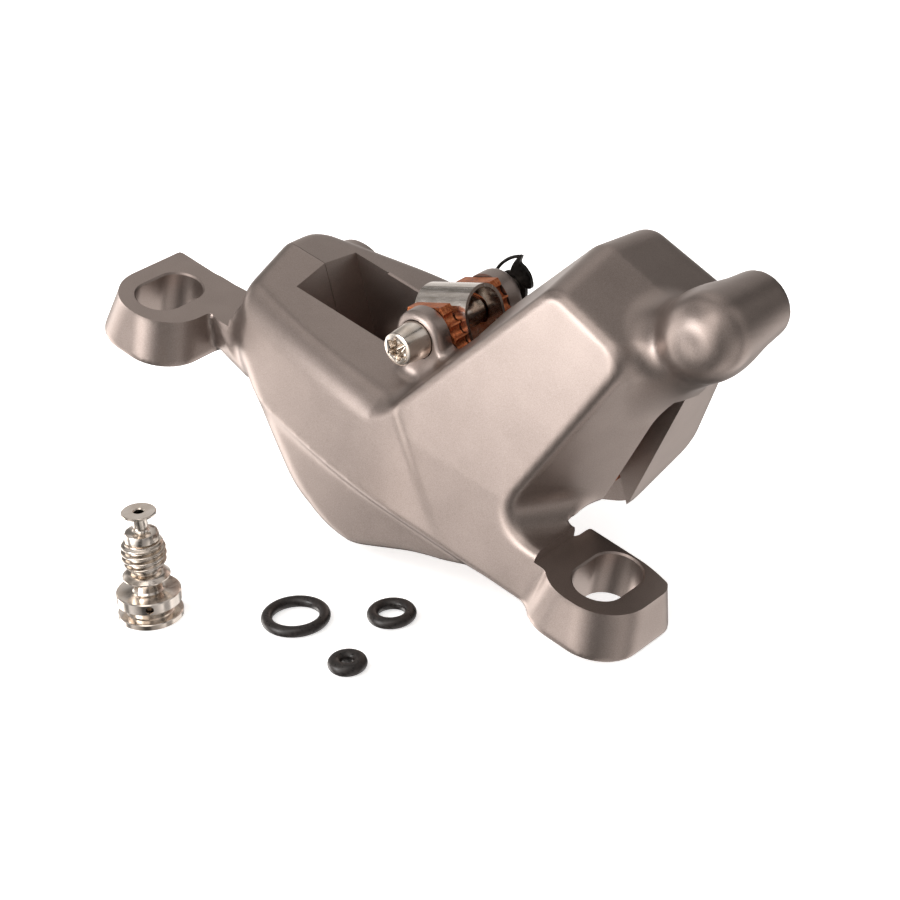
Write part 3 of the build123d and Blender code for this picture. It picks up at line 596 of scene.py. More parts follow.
def maths(tree: Tree, operation: str, *values: Socket | float) -> Socket:
    """Add one sum.

    Args:
        tree: Tree to add to.
        operation: Blender's name for the sum.
        *values: What it is worked out from.

    Returns:
        Its result.
    """
    links = {f"i{k}": value for k, value in enumerate(values)}
    return node(tree, "ShaderNodeMath", {"operation": operation}, **links).outputs[0]


def ramp(tree: Tree, factor: Socket, stops: Stops) -> Socket:
    """Colour ramp over a factor.

    Args:
        tree: Tree to add to.
        factor: What is mapped.
        stops: Positions and sRGB colours.

    Returns:
        The ramp's colour.
    """
    made = node(tree, "ShaderNodeValToRGB", Fac=factor)
    elements = made.color_ramp.elements
    while len(elements) < len(stops):
        elements.new(0.5)
    for element, (position, colour) in zip(elements, stops):
        element.position = position
        element.color = linear(colour)
    return made.outputs["Color"]


def shader_tree(name: str) -> tuple[bpy.types.Material, Tree, bpy.types.Node]:
    """Start a material.

    Args:
        name: Its name.

    Returns:
        The material, its tree and its principled shader.
    """
    material = bpy.data.materials.new(name)
    material.use_nodes = True
    tree = material.node_tree
    return material, tree, tree.nodes["Principled BSDF"]


def grain(tree: Tree, size_mm: float, detail: float = 3.0, stretch: Point = (1, 1, 1)) -> Socket:
    """Noise whose specks have a real size, laid out in the object's own frame.

    Args:
        tree: Tree to add to.
        size_mm: Size of a speck in millimetres.
        detail: Levels of finer noise in it.
        stretch: Scale of the pattern along each axis.

    Returns:
        The noise value, 0 to 1.
    """
    place = node(tree, "ShaderNodeTexCoord").outputs["Object"]
    spread = node(tree, "ShaderNodeMapping", Vector=place, Scale=stretch).outputs["Vector"]
    scale = 1 / (size_mm * MM)
    made = node(tree, "ShaderNodeTexNoise", Vector=spread, Scale=scale, Detail=detail)
    return made.outputs["Fac"]


def mapped(tree: Tree, value: Socket, low: float, high: float) -> Socket:
    """Map 0.3 to 0.7, where most of a noise lies, to a range.

    Args:
        tree: Tree to add to.
        value: The noise.
        low: What 0.3 becomes.
        high: What 0.7 becomes.

    Returns:
        The mapped value.
    """
    ends = {"From_Min": 0.3, "From_Max": 0.7, "To_Min": low, "To_Max": high}
    return node(tree, "ShaderNodeMapRange", Value=value, **ends).outputs["Result"]


def bumped(tree: Tree, shader: bpy.types.Node, height: Socket, depth_mm: float) -> None:
    """Bump a shader's normal by a height.

    Args:
        tree: Tree to add to.
        shader: The principled shader.
        height: Height, 0 to 1.
        depth_mm: How high 1 stands, in millimetres.
    """
    made = node(tree, "ShaderNodeBump", Height=height, Distance=depth_mm * MM, Strength=1.0)
    tree.links.new(made.outputs["Normal"], shader.inputs["Normal"])


# Finishes


@dataclass(frozen=True)
class Finish:
    """What the finishes share: a real-sized noise that gives colour, roughness and relief."""

    name: str
    colours: Stops
    speck_mm: float
    roughness: Span
    metallic: float = 0.0
    relief_mm: float = 0.0
    detail: float = 3.0
    stretch: Point = (1.0, 1.0, 1.0)

    def tone(self, tree: Tree, fine: Socket) -> Socket:
        """Value that picks the colour, here the noise itself."""
        return fine

    def clouded(self, tree: Tree, fine: Socket, ratio: float, share: float, shift: float) -> Socket:
        """Add larger clouds to the noise.

        Args:
            tree: Tree to add to.
            fine: The noise.
            ratio: How many times as large the clouds are.
            share: How much of them is added.
            shift: What is then taken off, to keep the middle.

        Returns:
            The value that picks the colour.
        """
        cloud = grain(tree, self.speck_mm * ratio, 2.0)
        return maths(tree, "SUBTRACT", maths(tree, "MULTIPLY_ADD", cloud, share, fine), shift)

    def build(self) -> bpy.types.Material:
        """Make the material.

        Returns:
            The material.
        """
        material, tree, shader = shader_tree(self.name)
        fine = grain(tree, self.speck_mm, self.detail, self.stretch)
        colour = ramp(tree, self.tone(tree, fine), self.colours)
        tree.links.new(colour, shader.inputs["Base Color"])
        tree.links.new(mapped(tree, fine, *self.roughness), shader.inputs["Roughness"])
        shader.inputs["Metallic"].default_value = self.metallic
        if self.relief_mm:
            bumped(tree, shader, fine, self.relief_mm)
        return material


@dataclass(frozen=True)
class BlastedAnodise(Finish):
    """Cast aluminium, bead blasted and anodised: a warm grey satin metal with a fine grain."""

    name: str = "anodised_aluminium_blasted"
    colours: Stops = ((0.3, "#968A84"), (0.7, "#A99C96"))
    speck_mm: float = 0.12
    roughness: Span = (0.33, 0.44)
    metallic: float = 0.95
    relief_mm: float = 0.0025
    detail: float = 2.0

    def tone(self, tree: Tree, fine: Socket) -> Socket:
        """Value that picks the colour, with faint clouds in the dye."""
        return self.clouded(tree, fine, 40, 0.35, 0.17)


@dataclass(frozen=True)
class MilledAnodise(Finish):
    """The same alloy where it was milled after casting: smoother, with parallel cutter lines."""

    name: str = "anodised_aluminium_milled"
    colours: Stops = ((0.3, "#8E8179"), (0.7, "#AA9D96"))
    speck_mm: float = 0.35
    roughness: Span = (0.31, 0.43)
    metallic: float = 0.95
    relief_mm: float = 0.006
    detail: float = 1.0
    stretch: Point = (0.04, 1.0, 0.3)


@dataclass(frozen=True)
class CavityPaintedShade(Finish):
    """The milled pad cavity, painted brown black as the shade that falls inside it."""

    name: str = "anodised_aluminium_cavity_painted_shade"
    colours: Stops = ((0.3, "#181210"), (0.7, "#2B201C"))
    speck_mm: float = 0.5
    roughness: Span = (0.44, 0.6)
    metallic: float = 0.9
    relief_mm: float = 0.006
    detail: float = 2.0
    stretch: Point = (0.2, 1.0, 0.2)


@dataclass(frozen=True)
class TurnedSteel(Finish):
    """Stainless steel turned on a lathe and polished: bright, with very fine rings."""

    name: str = "stainless_steel_turned"
    colours: Stops = ((0.35, "#CFC4B8"), (0.65, "#E2DAD2"))
    speck_mm: float = 0.12
    roughness: Span = (0.11, 0.24)
    metallic: float = 1.0
    relief_mm: float = 0.001
    detail: float = 1.0
    stretch: Point = (0.1, 0.1, 1.0)

    def tone(self, tree: Tree, fine: Socket) -> Socket:
        """Value that picks the colour, here stains much larger than the rings."""
        return grain(tree, self.speck_mm * 25, 2.0)


@dataclass(frozen=True)
class SheetSteel(Finish):
    """Spring steel sheet, rolled and tumbled: mirror-bright with faint draw lines."""

    name: str = "spring_steel_sheet"
    colours: Stops = ((0.3, "#D0C8BF"), (0.7, "#E6E0DA"))
    speck_mm: float = 0.25
    roughness: Span = (0.14, 0.28)
    metallic: float = 1.0
    relief_mm: float = 0.002
    detail: float = 2.0
    stretch: Point = (0.15, 1.0, 0.15)


@dataclass(frozen=True)
class BlackOxideAndShade(Finish):
    """Spring steel with a black oxide coat: dark and half glossy. The pin's shank and tip and the spring's
    inside take it as painted shade.
    """

    name: str = "black_oxide_steel_and_painted_shade"
    colours: Stops = ((0.35, "#151413"), (0.7, "#2E2B2A"))
    speck_mm: float = 0.5
    roughness: Span = (0.26, 0.44)
    metallic: float = 0.7


@dataclass(frozen=True)
class CopperPlate(Finish):
    """Pressed steel with a copper flash and clouds of tarnish: a dull orange-brown metal."""

    name: str = "copper_flashed_steel"
    colours: Stops = ((0.3, "#7E4328"), (0.5, "#B5683F"), (0.75, "#D08A62"))
    speck_mm: float = 0.3
    roughness: Span = (0.34, 0.56)
    metallic: float = 0.85
    relief_mm: float = 0.02
    detail: float = 4.0

    def tone(self, tree: Tree, fine: Socket) -> Socket:
        """Value that picks the colour, with clouds of tarnish."""
        return self.clouded(tree, fine, 8, 0.8, 0.4)


@dataclass(frozen=True)
class SinteredLining(Finish):
    """Friction material sintered from metal powder: matt brown with coppery specks and pores."""

    name: str = "sintered_friction_lining"
    colours: Stops = ((0.36, "#2C211C"), (0.48, "#6E4A38"), (0.66, "#B5714A"))
    speck_mm: float = 0.35
    roughness: Span = (0.85, 0.55)
    metallic: float = 0.35
    relief_mm: float = 0.06
    detail: float = 4.0


@dataclass(frozen=True)
class PhenolicPiston(Finish):
    """Moulded phenolic resin, ground on its outside: near black, satin, with faint flow marks."""

    name: str = "phenolic_moulded"
    colours: Stops = ((0.35, "#211F1E"), (0.7, "#3A3634"))
    speck_mm: float = 1.2
    roughness: Span = (0.38, 0.52)
    relief_mm: float = 0.01


@dataclass(frozen=True)
class NitrileRubber(Finish):
    """Moulded nitrile rubber, wet with fluid: black with a soft brownish gloss."""

    name: str = "nitrile_rubber_moulded"
    colours: Stops = ((0.35, "#171413"), (0.7, "#2B2523"))
    speck_mm: float = 0.4
    roughness: Span = (0.26, 0.42)
    relief_mm: float = 0.008


@dataclass(frozen=True)
class StudioFloor:
    """Matt white paper that the caliper lies on, with a faint fibre mottle."""

    name: str = "white_backdrop_paper"
    light: str = "#FFFFFF"
    dark: str = "#F8F8F7"
    fibre_mm: float = 1.0
    roughness: float = 0.55
    glow: float = 0.6

    def build(self) -> bpy.types.Material:
        """Make the material.

        Returns:
            The material.
        """
        material, tree, shader = shader_tree(self.name)
        fibre = grain(tree, self.fibre_mm)
        colour = ramp(tree, fibre, ((0.3, self.dark), (0.7, self.light)))
        tree.links.new(colour, shader.inputs["Base Color"])
        shader.inputs["Roughness"].default_value = self.roughness
        shader.inputs["Emission Color"].default_value = linear(self.light)
        shader.inputs["Emission Strength"].default_value = self.glow
        return material


# Sub-assemblies


@dataclass
class CastSkin:
    """Skin of the casting as a signed field, below zero inside, with a radius for each edge.

    The main flats are the CAD's own planes. The near-left corner, the recess below the crease, the
    end of the arm and the outboard belly follow the photograph, so there the skin lies up to 4 mm
    inside the solids.
    """

    # Grid that the skin is found on
    step: float = 0.4
    low: Point = (-46.0, -9.0, -26.0)
    high: Point = (47.0, 29.0, 41.0)

    # Outline that both halves share
    parting: float = 11.0
    overlap: float = 0.4
    foot: float = -6.3
    roof: float = 8.8
    vee_x: float = 2.42
    rise_degrees: float = 55.0
    arm_corner: Span = (19.99, 33.9)
    arm_fall: float = 13.8
    left_end: float = 29.2
    left_foot: float = -0.58
    flank_degrees: float = 41.1
    belly_up: float = -14.8
    left_side: Pair = ((-27.4, 5.15, 7.8), (-0.958, -0.287, 0.0))
    left_radius: float = 3.5
    body_radius: float = 3.0
    crown_radius: float = 2.0

    # Inboard face, its crease and the recess under it
    face_lean: float = 10.6
    face_y: float = -6.05
    crease_step: float = 0.3
    crease_shift: float = 0.3
    crease_slope: float = 0.9
    crease_width: float = 1.6
    crease_low: float = -5.0
    crease_fade: float = 10.0
    recess_depth: float = 1.3
    recess_edge: float = 1.2
    recess_hollow: float = 0.9

    # Inboard half
    inboard_draft: float = 10.0
    corner: Pair = ((-25.7, 0.14, 6.9), (-0.289, -0.957, 0.12))
    corner_radius: float = 6.0
    end_at: Point = (34.1, 8.0, 18.2)
    end_turn: float = 27.0
    end_droop: float = 14.8
    end_radius: float = 3.5
    bulb_radius: float = 9.0
    vee_radius: float = 1.0
    relief_along: float = 8.0
    relief_up: float = -11.5
    relief_y: float = 2.4
    relief_edge: float = 0.8
    ridge_radius: float = 1.0
    ridge_growth: float = 2.4
    ridge_low_radius: float = 0.8
    ridge_fade: float = 3.0
    ridge_turn: float = 2.0
    ridge_low_z: float = -2.0
    ridge_low_x: Span = (-6.0, 8.0)

    # Outboard half
    outboard_draft: float = 5.0
    outboard_y: float = 28.05
    outboard_drop: float = 1.6
    tip_y: float = 16.2
    tip_degrees: float = 27.0
    tip_radius: float = 2.0
    under_radius: float = 6.0
    outboard_corner: Pair = ((-29.2, 18.0, 0.0), (-0.3206, 0.947, 0.0))
    outboard_corner_radius: float = 4.0
    outboard_end: float = 29.7
    outboard_end_fall: float = 12.8
    outboard_end_radius: float = 2.5
    bolts: tuple[Span, ...] = ((-22.6, 1.6), (23.99, 24.0))
    post_radius: float = 5.2
    post_end: float = 21.6
    post_edge: float = 0.6
    post_blend: float = 0.8

    # Bleed boss and the stem that carries it
    boss_at: Span = (39.3, 33.7)
    boss_front: float = 2.0
    boss_rear: float = 15.8
    boss_radius: float = 5.5
    boss_taper: float = 6.0
    boss_dome: float = 4.4
    boss_edge: float = 0.5
    stem: Pair = ((27.5, 10.0, 20.5), (37.2, 8.2, 31.0))
    stem_radius: float = 5.3

    # Ears: lowest X, highest X, rear Y and whether a corner is bevelled. Their tops are milled later
    ears: tuple[tuple[float, float, float, bool], ...] = ((-42.9, -30.3, 7.7, False), (30.0, 43.3, 5.4, True))
    ear_front: float = -7.1
    ear_top: float = 1.6
    ear_draft: float = 10.0
    ear_edge: float = 0.5
    nose_radius: float = 6.1
    bevel_back: float = 1.0
    bevel_way: Point = (1.4, 2.9, 0.0)
    bevel_radius: float = 1.6

    # Necks between the ears and the body
    right_neck: Pair = ((2.0, -OPEN, -6.3), (31.5, 3.4, 1.4))
    right_neck_edge: float = 0.8
    left_neck: Span = (-32.0, -22.0)
    left_neck_y: Span = (0.2, 7.7)
    left_neck_under: Pair = ((-30.3, 0.0, -5.6), (-0.16, 0.0, -1.0))
    left_neck_edges: Span = (1.2, 2.4)
    plate_left: float = -36.0
    plate_near: Pair = ((-27.6, -1.3, 0.0), (0.62, -0.78, 0.15))
    plate_under: Pair = ((-30.0, 0.0, -2.2), (-0.35, 0.0, -1.0))
    plate_edge: float = 0.7

    # Boss round the pad pin, across both halves
    pedestal_radius: float = 3.6
    pedestal_y: Span = (3.0, 19.5)
    pedestal_edge: float = 0.8

    # Radii of the hollows where these meet
    right_neck_blend: float = 5.0
    left_neck_blend: float = 2.5
    plate_blend: float = 1.6
    arm_blend: float = 2.2
    boss_blend: float = 2.0
    pedestal_blend: float = 1.5
    ear_blend: float = 0.8

    def crown(self, at: Grid, draft: float) -> list[np.ndarray]:
        """Flats that both halves share, leaning in from the parting plane.

        Args:
            at: X, Y and Z of the points.
            draft: How far they lean, in degrees.

        Returns:
            Fields of the roof, rise, top, left end, flank and belly.
        """
        x, y, z = at
        fall = np.abs(y - self.parting) * math.tan(math.radians(draft))
        roof = z - self.roof + fall
        rise = flat(at, (self.vee_x, 0, self.roof), polar(90 + self.rise_degrees)) + fall
        arm_x, arm_z = self.arm_corner
        top = flat(at, (arm_x, 0, arm_z), polar(90 - self.arm_fall)) + fall
        left = -x - self.left_end + fall
        flank = flat(at, (-self.left_end, 0, self.left_foot), polar(270 - self.flank_degrees)) + fall
        belly = self.belly_up - PADS.split(x, z)[1]
        return [roof, rise, top, left, flank, belly]

    def face(self, at: Grid) -> np.ndarray:
        """Leaning inboard face, stepped at the crease and set back under the mounting plane.

        Args:
            at: X, Y and Z of the points.

        Returns:
            The field at each point.
        """
        x, y, z = at
        lean = math.radians(self.face_lean)
        face = flat(at, (0, self.face_y, self.foot), (0, -math.cos(lean), math.sin(lean)))
        past_vee = x - self.vee_x + (z - self.roof) * self.crease_slope
        crease = eased(past_vee, self.crease_shift, self.crease_width)
        face = face - self.crease_step * crease * eased(z, self.crease_low, self.crease_fade)
        back = self.face_y + self.recess_depth
        recess = blended(self.recess_hollow, self.foot - z, back - y)
        return convex(self.recess_edge, face, recess)

    def inboard(self, at: Grid) -> np.ndarray:
        """Inboard half with its necks, without its ears and boss.

        Args:
            at: X, Y and Z of the points.

        Returns:
            The field at each point.
        """
        x, y, z = at
        along, up = PADS.split(x, z)
        roof, rise, top, left, flank, belly = self.crown(at, self.inboard_draft)
        turn, droop = math.radians(self.end_turn), math.radians(self.end_droop)
        level = math.cos(droop)
        end = flat(at, self.end_at, (math.cos(turn) * level, -math.sin(turn) * level, -math.sin(droop)))
        bulb = convex(self.bulb_radius, flank, belly)
        lower = convex(self.left_radius, left, flat(at, *self.left_side), bulb)
        upper = blended(self.vee_radius, roof, convex(self.crown_radius, rise, top))
        shape = convex(self.end_radius, convex(self.body_radius, upper, lower), end)
        right, webbed = self.necks(at)
        shape = blended(self.right_neck_blend, shape, right)
        shape = blended(self.left_neck_blend, shape, webbed)
        relief = (self.relief_along - along, up - self.relief_up, self.relief_y - y)
        shape = convex(self.relief_edge, shape, -np.maximum.reduce(relief))
        fade = self.ridge_fade
        left_of_vee = 1 - eased(x, self.vee_x + self.ridge_turn - fade, fade)
        ridge = self.ridge_radius + self.ridge_growth * left_of_vee
        low_right = (1 - eased(z, self.ridge_low_z - fade, fade)) * eased(x, *self.ridge_low_x)
        ridge = ridge * (1 - low_right) + self.ridge_low_radius * low_right
        near = convex(self.corner_radius, self.face(at), flat(at, *self.corner))
        return np.maximum(convex(ridge, shape, near), y - self.parting - self.overlap)

    def outboard(self, at: Grid) -> np.ndarray:
        """Outboard half with the round post under the left bolt's head.

        Args:
            at: X, Y and Z of the points.

        Returns:
            The field at each point.
        """
        x, y, z = at
        roof, rise, top, left, flank, belly = self.crown(at, self.outboard_draft)
        lean, tip = math.radians(self.face_lean), math.radians(self.tip_degrees)
        face = flat(at, (0, self.outboard_y, self.foot), (0, math.cos(lean), math.sin(lean)))
        lowest = PADS.place(0, self.belly_up - self.outboard_drop, self.tip_y)
        down = PADS.place(0, -math.cos(tip), math.sin(tip))
        under = convex(self.tip_radius, belly - self.outboard_drop, flat(at, lowest, down))
        under = convex(self.under_radius, flank, under)
        back = convex(self.outboard_corner_radius, face, flat(at, *self.outboard_corner))
        body = convex(self.left_radius, left, flat(at, *self.left_side), under, back)
        end = flat(at, (self.outboard_end, 0, 0), polar(-self.outboard_end_fall))
        body = convex(self.outboard_end_radius, body, end)
        block = convex(self.body_radius, roof, body)
        arm = convex(self.crown_radius, convex(self.crown_radius, rise, top), body)
        bolt_x, bolt_z = self.bolts[0]
        rim = np.hypot(x - bolt_x, z - bolt_z) - self.post_radius
        post = convex(self.post_edge, rim, y - self.post_end)
        half = blended(self.post_blend, np.minimum(block, arm), post)
        return np.maximum(half, self.parting - self.overlap - y)

    def boss(self, at: Grid) -> np.ndarray:
        """Tapered bleed boss with a domed front.

        Args:
            at: X, Y and Z of the points.

        Returns:
            The field at each point.
        """
        x, y, z = at
        taper = math.radians(self.boss_taper)
        radius = self.boss_radius - (y - self.boss_front) * math.tan(taper)
        cone = (np.hypot(x - self.boss_at[0], z - self.boss_at[1]) - radius) * math.cos(taper)
        domed = convex(self.boss_dome, cone, self.boss_front - y)
        return convex(self.boss_edge, domed, y - self.boss_rear)

    def necks(self, at: Grid) -> tuple[np.ndarray, np.ndarray]:
        """Webs to the two ears.

        Args:
            at: X, Y and Z of the points.

        Returns:
            Fields of the right and the left neck.
        """
        x, y, z = at
        right = convex(self.right_neck_edge, *box(at, *self.right_neck))
        left, inner = self.left_neck
        front, rear = self.left_neck_y
        end_edge, long_edge = self.left_neck_edges
        bar = convex(long_edge, y - rear, front - y, z - self.ear_top, flat(at, *self.left_neck_under))
        web = convex(end_edge, left - x, x - inner, bar)
        sides = (self.plate_left - x, x - inner, y - rear, z - self.ear_top)
        plate = convex(self.plate_edge, *sides, flat(at, *self.plate_near), flat(at, *self.plate_under))
        return right, blended(self.plate_blend, web, plate)

    def ear(self, at: Grid, low: float, high: float, rear: float, bevel: bool) -> np.ndarray:
        """Mounting ear with a round nose, left high for the cutter that mills its top.

        Args:
            at: X, Y and Z of the points.
            low: Its lowest X.
            high: Its highest X.
            rear: Y of its rear side.
            bevel: Whether its outer rear corner is cut off.

        Returns:
            The field at each point.
        """
        x, y, z = at
        flare = np.minimum(z, 0) * math.tan(math.radians(self.ear_draft))
        nose = convex(self.nose_radius, self.ear_front - y + flare, low - x + flare, x - high + flare)
        outline = np.maximum(nose, y - rear + flare)
        if bevel:
            cut = flat(at, (high, rear - self.bevel_back, 0), self.bevel_way) + flare
            outline = convex(self.bevel_radius, outline, cut)
        return convex(self.ear_edge, outline, z - self.ear_top, self.foot - z)

    def pedestal(self, at: Grid) -> np.ndarray:
        """Boss round the pad pin, which stands on the pads' middle.

        Args:
            at: X, Y and Z of the points.

        Returns:
            The field at each point.
        """
        along, up = PADS.split(at[0], at[2])
        pin_along, pin_up = PADS.pin
        rim = np.hypot(along - pin_along, np.maximum(up - pin_up, 0)) - self.pedestal_radius
        near, far = self.pedestal_y
        return convex(self.pedestal_edge, rim, near - at[1], at[1] - far, -up)

    def field(self, at: Grid) -> np.ndarray:
        """The whole casting.

        Args:
            at: X, Y and Z of the points.

        Returns:
            The field at each point.
        """
        whole = np.minimum(self.inboard(at), self.outboard(at))
        boss = blended(self.boss_blend, rod(at, *self.stem, self.stem_radius), self.boss(at))
        whole = blended(self.arm_blend, whole, boss)
        whole = blended(self.pedestal_blend, whole, self.pedestal(at))
        return blended(self.ear_blend, whole, *[self.ear(at, *ear) for ear in self.ears])


@dataclass
class CastBody:
    """The two halves of the caliper: one soft casting, milled and bored, split at the parting plane."""

    blasted: bpy.types.Material
    milled: bpy.types.Material
    shaded: bpy.types.Material
    skin: CastSkin = field(default_factory=CastSkin)
    smooth_passes: int = 3
    smooth_share: float = 0.5

    # Split between the halves, open as a fine seam left of the arm
    seam: float = 0.035
    seam_end: float = 3.5
    seam_lap: float = 1.0
    split_radius: float = 6.2
    split_rear: float = 17.0
    split_gap: float = 0.01
    far: float = 90.0

    # Ears: milled tops and the slots for the mounting bolts
    tops: tuple[Span, ...] = ((-45.0, -26.6), (29.7, 46.0))
    top_y: Span = (-12.0, 9.0)
    cutter_z: Span = (-12.0, 4.0)
    slot_x: float = 37.0
    slot_radius: float = 3.23
    slot_reach: float = 1.64
    slot_chamfer: float = 0.22
    chamfer_over: float = 0.4

    # Pad cavity, window and rotor slot, in the pads' directions
    cavity: tuple[Span, Span] = ((-10.1, 25.3), (-30.0, 6.5))
    window: tuple[Span, Span] = ((-14.2, 15.5), (3.0, 40.0))
    cavity_y: Span = (5.3, 16.7)
    rotor_at: Span = (7.6, -94.0)
    rotor_radius: float = 102.0
    rotor_y: Span = (7.85, 14.15)
    rotor_turn: float = 0.5
    rotor_below: tuple[Span, Span] = ((-60.0, -60.0), (70.0, -60.0))
    piston_bores: tuple[Span, ...] = ((-1.1, 7.55), (16.3, 8.05))
    piston_up: float = -2.7
    piston_y: Span = (-1.5, 23.5)
    window_rim_x: Span = (-14.6, 3.0)
    window_rim: tuple[Span, ...] = ((16.6, 7.95), (16.6, 9.6), (18.25, 9.6))
    pin_holes: tuple[tuple[float, Span], ...] = ((2.05, (-6.0, 26.0)), (2.6, (-6.0, 3.4)))

    # Round holes along Y: radius, where each starts and where it ends
    bolt_holes: tuple[Point, ...] = ((2.7, 4.4, 30.0), (4.4, 17.0, 40.0))
    bleed_holes: tuple[Point, ...] = ((2.65, 5.8, 20.0), (3.3, 14.3, 20.0))
    hose_holes: tuple[Point, ...] = ((5.2, 23.6, 40.0), (3.5, 18.6, 40.0))
    hose_at: Span = (26.5, 12.6)

    def slot_outline(self, side: int, extra: float) -> list[Span]:
        """Outline of a mounting slot.

        Args:
            side: -1 for the left slot, 1 for the right slot.
            extra: How much it is grown by.

        Returns:
            Points of the outline.
        """
        radius = self.slot_radius + extra
        ends = (self.slot_reach, -self.slot_reach)
        return [p for end in ends for p in round_points((side * self.slot_x, end), radius, 96)]

    def ear_cuts(self) -> list[bpy.types.Object]:
        """Closed meshes of what is milled off and through the ears.

        Returns:
            The meshes to cut with.
        """
        made = []
        high = self.cutter_z[1]
        for ends in self.tops:
            made.append(hull("top", [(x, y, z) for x in ends for y in self.top_y for z in (0, high)]))
        rims = ((-self.slot_chamfer, 0.0), (self.chamfer_over, self.slot_chamfer + self.chamfer_over))
        for side in (-1, 1):
            through = [(x, y, z) for x, y in self.slot_outline(side, 0) for z in self.cutter_z]
            made.append(hull("slot", through))
            flare = [(x, y, z) for z, extra in rims for x, y in self.slot_outline(side, extra)]
            made.append(hull("rim", flare))
        return made

    def pad_cuts(self) -> list[bpy.types.Object]:
        """Closed meshes of the pad cavity, window, rotor slot, piston bores and pin hole.

        Returns:
            The meshes to cut with.
        """
        made = [
            PADS.block("cavity", *self.cavity, self.cavity_y),
            PADS.block("window", *self.window, self.cavity_y),
        ]
        centre, hub = self.rotor_at
        reach = self.rotor_radius
        turns = np.linspace(-self.rotor_turn, self.rotor_turn, 160)
        arc = [(centre + reach * math.sin(a), hub + reach * math.cos(a)) for a in turns]
        arc += self.rotor_below
        made.append(hull("rotor_slot", [PADS.place(a, u, y) for a, u in arc for y in self.rotor_y]))
        for along, radius in self.piston_bores:
            made.append(PADS.drum("bore", (along, self.piston_up), radius, self.piston_y))
        rim = [(x, y, z) for x in self.window_rim_x for y, z in self.window_rim]
        made.append(hull("window_rim", rim))
        made += [PADS.drum("pin_hole", PADS.pin, radius, y) for radius, y in self.pin_holes]
        return made

    def bolt_cuts(self) -> list[bpy.types.Object]:
        """Closed meshes of the bolt holes, the bleed bore and the hose port.

        Returns:
            The meshes to cut with.
        """
        groups = [(spot, self.bolt_holes) for spot in self.skin.bolts]
        groups += [(self.skin.boss_at, self.bleed_holes), (self.hose_at, self.hose_holes)]
        made = []
        for spot, holes in groups:
            for radius, start, stop in holes:
                circle = round_points(spot, radius)
                made.append(hull("bore", [(x, y, z) for x, z in circle for y in (start, stop)]))
        return made

    def other_side(self, side: int) -> list[bpy.types.Object]:
        """What is cut from the casting to leave one half.

        Args:
            side: 1 for the inboard half, -1 for the outboard half.

        Returns:
            Closed meshes to cut with. The bleed boss stays with the inboard half.
        """
        far, parting = self.far, self.skin.parting
        seam_y = parting - side * self.seam
        beyond = parting + side * far
        gap = [(x, y, z) for x in (-far, self.seam_end) for y in (seam_y, beyond) for z in (-far, far)]
        lap = self.seam_end - self.seam_lap
        shut = [(x, y, z) for x in (lap, far) for y in (parting, beyond) for z in (-far, far)]
        grown = self.split_radius if side == 1 else self.split_radius + self.split_gap
        circle = round_points(self.skin.boss_at, grown, 128)
        along = (parting - self.seam_lap, self.split_rear)
        boss = hull("boss", [(x, y, z) for x, z in circle for y in along])
        shut_block = hull("shut", shut)
        if side == 1:
            combine(shut_block, boss, Cut.TAKE_AWAY)
            return [hull("gap", gap), shut_block]
        return [hull("gap", gap), shut_block, boss]

    def build(self) -> None:
        """Make both halves and let them stand for the CAD nodes."""
        blank = skin_of("casting", self.skin.field, self.skin.low, self.skin.high, self.skin.step)
        apply(blank, "SMOOTH", factor=self.smooth_share, iterations=self.smooth_passes)
        paint_faces(blank, Surface.BLASTED)
        milled = self.ear_cuts() + self.bolt_cuts()
        # The pad cuts take the brown-black cavity finish, which is painted shade
        for surface, tools in ((Surface.SHADED, self.pad_cuts()), (Surface.MILLED, milled)):
            for tool in tools:
                paint_faces(tool, surface)
                combine(blank, tool, Cut.TAKE_AWAY)
        for name, side in (("inboard_half", 1), ("outboard_half", -1)):
            half = new_object(f"cast_{name}", blank.data.copy())
            for away in self.other_side(side):
                paint_faces(away, Surface.MILLED)
                combine(half, away, Cut.TAKE_AWAY)
            stand_in(half, name, [self.blasted, self.milled, self.shaded])
        bpy.data.objects.remove(blank)


